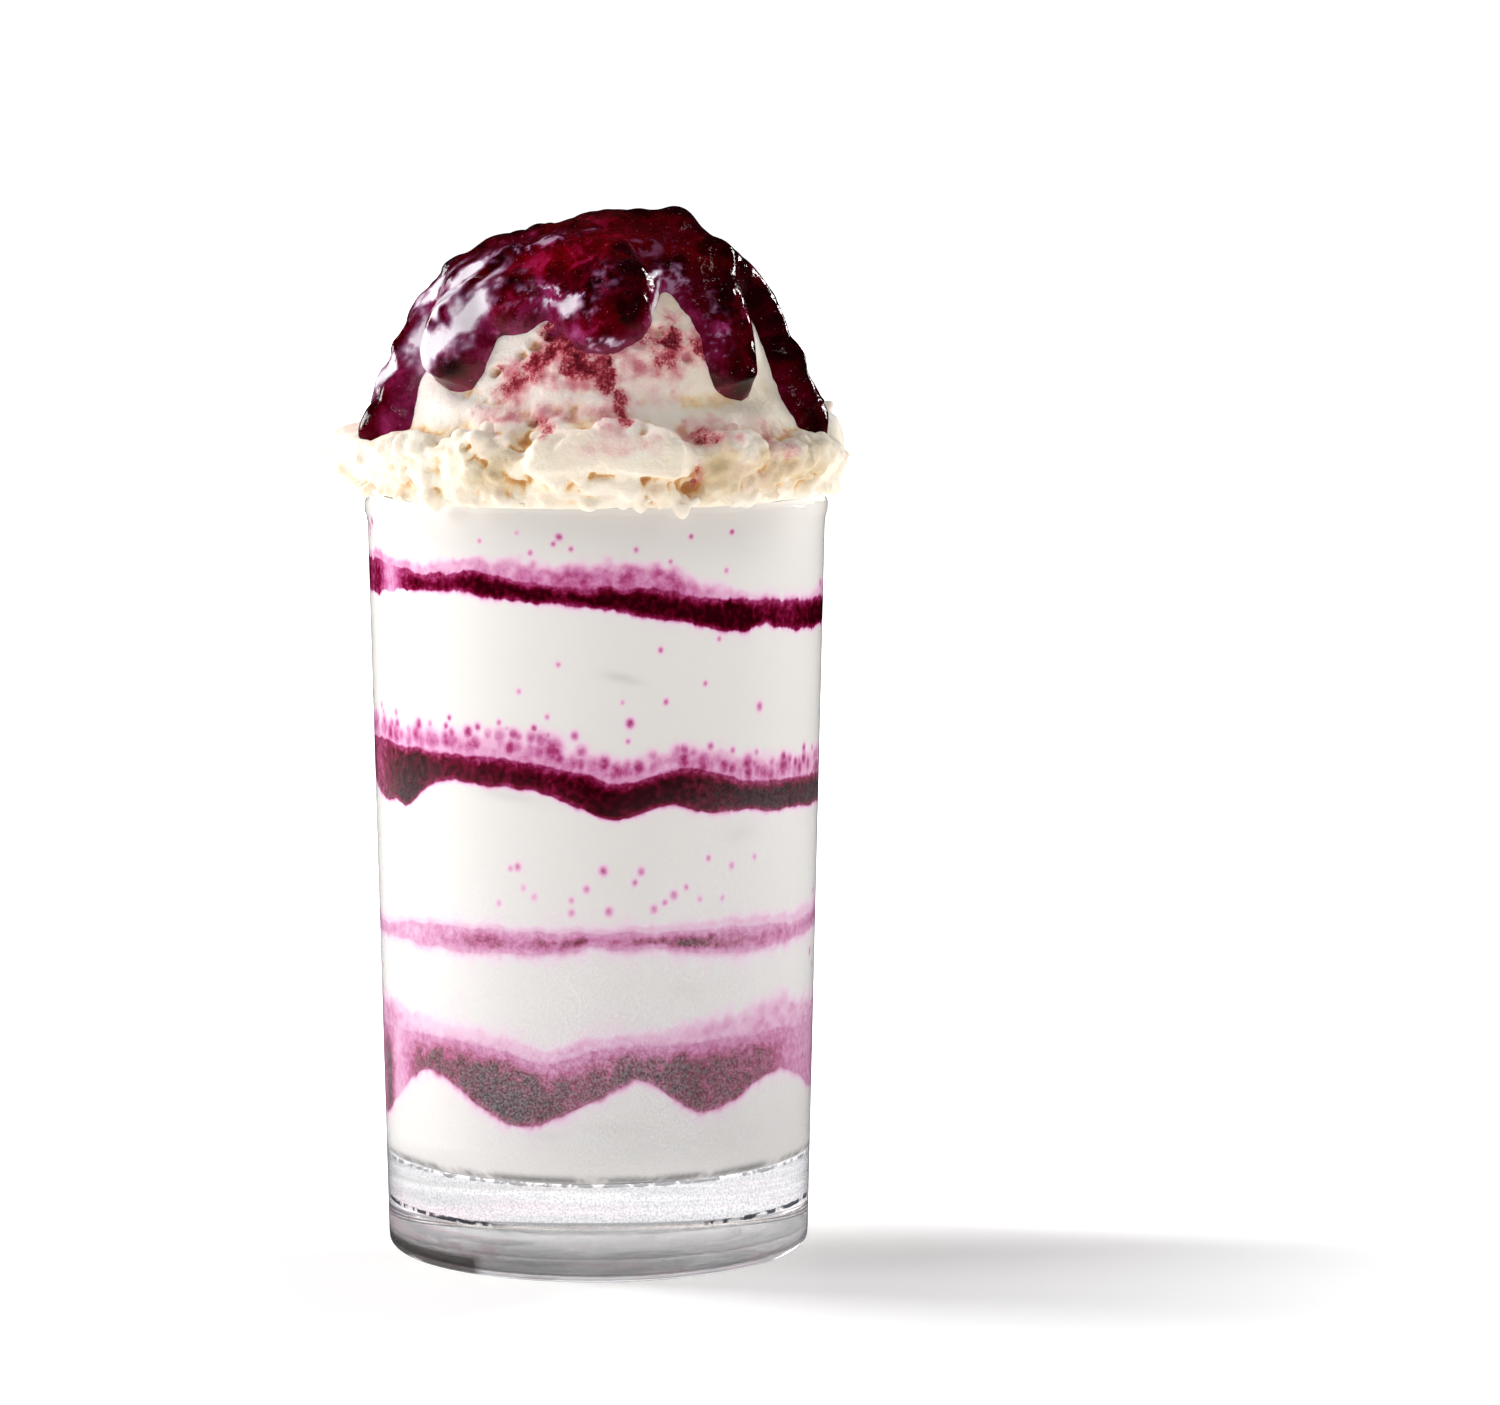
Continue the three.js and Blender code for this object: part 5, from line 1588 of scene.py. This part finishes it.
# %% Clouds, froth and red places
# Milky lobes, partly painted reflection and highlight, the whole left shoulder, and froth: [degrees, height, half
# width, half height, lean, strength].
MILK_AND_PAINTED_SHEEN = [
    (-70, 160.3, 3, 2, 0.8, 1), (-51, 162.8, 4.6, 1.7, 0.8, 1), (-54, 157.3, 5.4, 2.2, 0.9, 1),
    (-39, 157.5, 6, 2.2, 1.05, 1), (-50, 151, 6.4, 3.6, 0.6, 1), (-66, 153, 2.8, 4.6, 0.4, 1),
    (-72, 146.5, 4, 3.4, 0.2, 0.9), (-8, 158, 2.2, 2, 0.3, 0.8), (22, 159.4, 0.8, 4.6, -0.5, 1),
    (24, 163, 2, 0.7, 0.2, 0.9), (140, 152, 6, 3, 0.5, 0.8), (200, 156, 6, 3, -0.4, 0.8), (235, 150, 5, 4, 0.3, 0.9),
    (170, 162, 6, 2, 0, 0.6),
]
SHOULDER_MILK_AND_SHEEN = [
    (-56, 156, 14, 9, 0.4, 1), (-76, 148, 6, 8, 0.2, 1), (140, 152, 10, 6, 0.5, 0.8), (200, 156, 10, 6, -0.4, 0.8),
    (235, 150, 8, 8, 0.3, 0.8),
]
FROTH = [
    (-20, 159.6, 7, 2.6, 0.1, 1), (-7, 157.6, 4.4, 3.4, 0, 1), (4, 151.8, 6, 1.5, -0.1, 1),
    (20, 157, 1.8, 5, -0.3, 0.8), (-30, 167.5, 8, 1.5, 0.3, 0.7), (2, 163, 3, 3, 0.3, 0.45),
    (32, 161.5, 4.5, 3.4, 0.3, 0.6), (39, 154, 2.6, 6, -0.2, 0.6), (26, 167.5, 6, 2.2, 0, 0.4),
    (120, 158, 6, 3, 0.3, 0.6), (215, 160, 6, 3, 0.3, 0.6),
]
REDS = [
    (-22, 165, 12, 3, 0.2, 1), (14, 168, 12, 3.6, 0, 1), (40, 166.5, 8, 3, -0.2, 0.8), (-30, 158.5, 4, 3, 0.6, 0.6),
    (2, 155.5, 5, 4, 0, 0.6), (180, 165, 16, 4, 0, 0.9), (0, 171.5, 24, 1.6, 0, 0.6),
]

# %% [markdown]
# The skin carries four painted numbers: how much fruit lies below, how milky the gel is, with
# painted reflection in its white lobes, where it is red, and how dull it is. Fruit shows where the
# skin is raised, and where the sauce is only a film, the number falls to that of a film.

# %% How much fruit lies below
points = points_of(sauce)
degrees, height = where_on_scoop(points)
radius = np.hypot(points[:, 0], points[:, 1])
tilt = np.degrees(np.arctan2(radius, height - SCOOP_MIDDLE))
place = ball_place(degrees, tilt)
raised = -hollowness(sauce, rounds=40)
warped = points + np.stack([1.8 * noise(points, 4.5, seed) for seed in (91, 92, 93)], -1)
# The sauce is a film in patches, with a few creases between them, most of all low down.
blotches = step_up(-0.1, 0.55, layered_noise(warped, 3.6, 4, 94, 0.6))
creases = 1 - step_up(0.02, 0.26, np.abs(noise(warped, 2.4, 98)))
thick_right = bell(np.hypot(turn(degrees - 62) / 30, (tilt - 60) / 34), 1)
patchy = step_up(-0.35, 0.45, noise(points, 8.0, 97) + 0.5 * bell(tilt - 58, 12) - 0.7 * thick_right)
# At the hem the sauce is only a film as well.
hem = 1 - step_up(0.4, 3.2, inside_sauce(np.radians(degrees), BALL_SPAN * tilt / BALL_DEGREES, radius))
thin_hem = 0.65 * hem * (1 - 0.6 * bell((degrees - 80) / 26, 1))
film = np.maximum(patchy * np.maximum(0.9 * blotches, 0.35 * creases), thin_hem)
named_fruit = fruit_lumps(degrees, tilt, radius)
fruit = 0.62 + 0.55 * fruit_bits(place) + 0.1 * named_fruit - 0.58 * film + 0.3 * raised
paint(sauce, "fruit", np.clip(fruit, 0, 1))
print("film:", round(float(film.mean()) * 100, 1), "%")

# %% [markdown]
# Milk was drawn out into streaks where the sauce ran down, so their pattern is stretched along
# the way down, and it frothed where it met the ice cream. On the left shoulder the white streaks
# are partly painted reflection. The undersides of the drops are dulled by melted ice cream, and
# so, a little, are the clouds.

# %% Clouds, streaks and froth
under = step_up(-0.05, 0.45, -normals_of(sauce)[:, 2])
flow = np.stack([np.radians(degrees) * 30 + 1.3 * noise(points, 4.0, 87), tilt * 0.18, 0 * tilt], -1)
streaks = step_up(-0.15, 0.35, noise(flow, 3.0, 88) + 0.3 * noise(points, 1.8, 86))
froth = step_up(-0.05, 0.5, layered_noise(warped, 2.2, 4, 89, 0.65))
# Milk, with painted reflection in the white lobes and streaks on the left and a painted highlight right of the middle
# tongue.
milk_and_sheen = np.maximum(ovals(points, MILK_AND_PAINTED_SHEEN, 95, 0.42), 0.85 * streaks * ovals(points, SHOULDER_MILK_AND_SHEEN, 93, 0.3))
milk_and_sheen = np.maximum(milk_and_sheen, 0.75 * froth * ovals(points, FROTH, 90, 0.4))
paint(sauce, "cloud", milk_and_sheen)
paint(sauce, "dull", 0.05 + 0.07 * milk_and_sheen + 0.33 * under)
paint(sauce, "red", ovals(points, REDS, 96, 0.4))
print("cloudy share:", round(float((milk_and_sheen > 0.4).mean()) * 100, 1), "%")

# %% [markdown]
# Fruit sauce is a clear gel, deep wine-red, so wet that it mirrors the lamps: an index near that
# of syrup, 1.46, and almost no roughness. Tiny fruit fibres, half a millimetre apart, break the
# mirror into sparkles. A little scatter keeps the thin edges alive.

# %% Wet fruit gel
def fruit_gel():
    """Wine or clear red, read at the fruit's number plus a shift, with milk and painted sheen mixed over it."""
    finish, add = new_finish("wet_fruit_gel")
    place = add("TexCoord").outputs["Object"]
    read = {name: add("Attribute", {"attribute_name": name}).outputs["Fac"]
            for name in ("fruit", "cloud", "red", "dull")}
    clouds = add("TexNoise", values={"Scale": 420, "Detail": 5, "Roughness": 0.65, "Distortion": 0.6},
                 links={"Vector": place})
    shift = add("MapRange", ends=(0.3, 0.7, -0.18, 0.18), links={0: clouds})
    depth = add("Math", {"operation": "ADD", "use_clamp": True}, links={0: read["fruit"], 1: shift})
    wine = add("ValToRGB", links={"Fac": depth},
               stops=[(0.0, "#a4487a"), (0.18, "#85204f"), (0.38, "#640a2a"), (0.58, "#4a000c"), (0.8, "#300004"),
                      (1.0, "#190001")])
    clear = add("ValToRGB", links={"Fac": depth},
                stops=[(0.0, "#94123c"), (0.35, "#760014"), (0.6, "#5c0006"), (1.0, "#260001")])
    colour = add("Mix", "RGBA", links={0: read["red"], 6: wine, 7: clear}).outputs[2]
    # Milk and painted sheen: the white of the lobes stands partly for reflections.
    milk = add("ValToRGB", links={"Fac": read["cloud"]},
               stops=[(0.0, "#82265a"), (0.3, "#a26890"), (0.6, "#ccb2c6"), (0.85, "#eae0e8")])
    milky = add("Math", {"operation": "MULTIPLY", "use_clamp": True}, {1: 1.3}, {0: read["cloud"]})
    colour = add("Mix", "RGBA", links={0: milky, 6: colour, 7: milk}).outputs[2]
    fibres = add("TexNoise", values={"Scale": 700, "Detail": 3, "Roughness": 0.6}, links={"Vector": place})
    bump = add("Bump", values={"Strength": 0.3, "Distance": 0.0006}, links={"Height": fibres})
    # Bubbles and crumbs of milk a quarter of a millimetre wide, which also stand in for tiny glints: partly painted
    # highlight.
    specks = add("TexNoise", values={"Scale": 2300, "Detail": 2, "Roughness": 0.6}, links={"Vector": place})
    speck = add("MapRange", ends=(0.69, 0.77, 0.0, 0.6), links={0: specks})
    colour = add("Mix", "RGBA", {7: linear("#c894b2")}, {0: speck, 6: colour}).outputs[2]
    body = add("BsdfPrincipled", values={"IOR": 1.46, "Subsurface Weight": 0.15, "Subsurface Radius": (1.0, 0.2, 0.3),
                                         "Subsurface Scale": 0.001},
               links={"Base Color": colour, "Roughness": read["dull"], "Normal": bump})
    add("OutputMaterial", links={"Surface": body})
    return finish


sauce.data.materials.append(fruit_gel())
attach(sauce, "root")
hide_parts("sauce_topping")

# %% [markdown]
# ## The studio
# The table is white and matt. Lamps fade with distance, so a little painted light of its own keeps
# the far table as white as the near one, and ends the shadow early; more painted light makes a pool
# under the foot and ends the shadow behind the glass. A photographer keeps black card in front of
# glossy food, so that dark sauce stays dark. Here the table, and later the surroundings, are simply
# darker for mirror rays.

# %% The table
TABLE_HALF = 6000
square = np.array([[-1, -1, 0], [1, -1, 0], [1, 1, 0], [-1, 1, 0]], float)
table = new_piece("table", TABLE_HALF * square, np.array([[0, 1, 2, 3]]))
table_finish, add = new_finish("white_table")
place = add("TexCoord").outputs["Object"]
far = add("VectorMath", "LENGTH", links={0: place})
own_light = add("MapRange", "SMOOTHSTEP", ends=(0.045, 0.22, 0.09, 0.76), links={0: far.outputs["Value"]})
at = add("SeparateXYZ", links={"Vector": place})
# Painted light: a pool under the foot, brighter on the right, in place of the light that glass gathers into its own
# shadow.
under_foot = add("MapRange", ends=(0.034, 0.029), links={0: far.outputs["Value"]})
painted_pool_under_foot = add("MapRange", ends=(-0.02, 0.026, 0.1, 0.66), links={0: at.outputs["X"]})
painted_pool_under_foot = add("Math", "MULTIPLY", links={0: under_foot, 1: painted_pool_under_foot})
# Painted light: behind the glass the table glows, so the shadow ends early there too.
behind = add("MapRange", "SMOOTHSTEP", ends=(-0.014, 0.04, 0.0, 0.85), links={0: at.outputs["Y"]})
# Far off, beyond the photograph's frame, the table is simply white on every side.
far_light = add("MapRange", "SMOOTHSTEP", ends=(0.28, 0.7, 0.0, 0.3), links={0: far.outputs["Value"]})
glow = own_light
for other in (behind, far_light, painted_pool_under_foot):
    glow = add("Math", "ADD", links={0: glow, 1: other})
body = add("BsdfPrincipled", values={"Base Color": linear("#f8f8f8"), "Roughness": 0.6,
                                     "Emission Color": (1, 1, 1, 1)}, links={"Emission Strength": glow})
card = add("BsdfDiffuse", values={"Color": linear("#0e0e0e")})
ray = add("LightPath")
mirrored = add("Math", "MULTIPLY", links={0: ray.outputs["Is Glossy Ray"], 1: ray.outputs["Is Reflection Ray"]})
both = add("MixShader", links={0: mirrored, 1: body, 2: card})
add("OutputMaterial", links={"Surface": both})
table.data.materials.append(table_finish)
print("table:", 2 * TABLE_HALF * MM, "m wide")

# %% [markdown]
# Two soft lamps on the left light the sundae and throw the shadow to the right, and a weaker one
# on the right and a wide one overhead fill. None of these four is mirrored, or the wet sauce would
# turn white. What it does mirror is a window behind on the left, which gives the left-hand tongues
# their broad reflections and lights nothing, a narrow lamp behind on the right, which draws thin
# bright lines on the right-hand drops, and a small spot high up.

# %% Lamps
def soft_lamp(name, place, target, size, power, colour="#ffffff", mirrored=True):
    """A rectangular lamp at a place, turned to face a target, both in metres."""
    lamp = bpy.data.lights.new(name, "AREA")
    lamp.shape = "RECTANGLE"
    lamp.size, lamp.size_y = size
    lamp.energy = power
    lamp.color = linear(colour)[:3]
    made = bpy.data.objects.new(name, lamp)
    made.location = place
    made.rotation_euler = (Vector(target) - Vector(place)).to_track_quat("-Z", "Y").to_euler()
    made.visible_glossy = mirrored
    bpy.context.scene.collection.objects.link(made)
    return made


soft_lamp("left_softbox", (-0.95, -0.16, 0.42), (0, 0, 0.13), (0.3, 0.42), 4.3, mirrored=False)
soft_lamp("back_left", (-0.78, 0.27, 0.95), (0, 0, 0.08), (0.3, 0.3), 8.0, mirrored=False)
window = soft_lamp("window_behind_left", (-0.8, 0.42, 0.38), (0, 0, 0.14), (0.36, 0.46), 4.2)
window.visible_diffuse = False
soft_lamp("right_strip", (0.7, 0.5, 0.45), (0, 0, 0.14), (0.07, 0.26), 2.4)
soft_lamp("right_fill", (0.8, -0.45, 0.5), (0, 0, 0.12), (0.4, 0.4), 1.05, mirrored=False)
soft_lamp("high_spot", (0.1, -0.3, 1.1), (0, 0, 0.15), (0.07, 0.07), 0.15)
soft_lamp("overhead", (0.0, 0.05, 1.5), (0, 0, 0.05), (1.4, 1.4), 4.0, mirrored=False)

print("lamps:", len(bpy.data.lights))

# %% [markdown]
# The surroundings are white to the camera, a little dimmer when bent through the glass, much
# dimmer as a light on matt things, and nearly black in mirrors, except inside the glass, where
# mirrored surroundings draw its bright rim lines.

# %% Surroundings
world = bpy.data.worlds.new("white_surroundings")
world.use_nodes = True
world.node_tree.nodes.clear()
add = partial(add_node, world.node_tree)
seen = add("Background", values={"Color": (1, 1, 1, 1), "Strength": 1.1})
bent = add("Background", values={"Color": (1, 1, 1, 1), "Strength": 0.85})
felt = add("Background", values={"Color": linear("#fafbfc"), "Strength": 0.22})
dark = add("Background", values={"Color": linear("#fafbfc"), "Strength": 0.008})
inner = add("Background", values={"Color": linear("#fdfbfc"), "Strength": 0.52})
ray = add("LightPath")
mirrored = add("Math", "MULTIPLY", links={0: ray.outputs["Is Glossy Ray"], 1: ray.outputs["Is Reflection Ray"]})
within_glass = add("Math", "GREATER_THAN", {1: 0.5}, {0: ray.outputs["Transmission Depth"]})
dark = add("MixShader", links={0: within_glass, 1: dark, 2: inner})
matt = add("MixShader", links={0: ray.outputs["Is Diffuse Ray"], 1: bent, 2: felt})
shine = add("MixShader", links={0: mirrored, 1: matt, 2: dark})
both = add("MixShader", links={0: ray.outputs["Is Camera Ray"], 1: shine, 2: seen})
add("OutputWorld", links={"Surface": both})
bpy.context.scene.world = world
bpy.context.scene.view_settings.view_transform = "Standard"
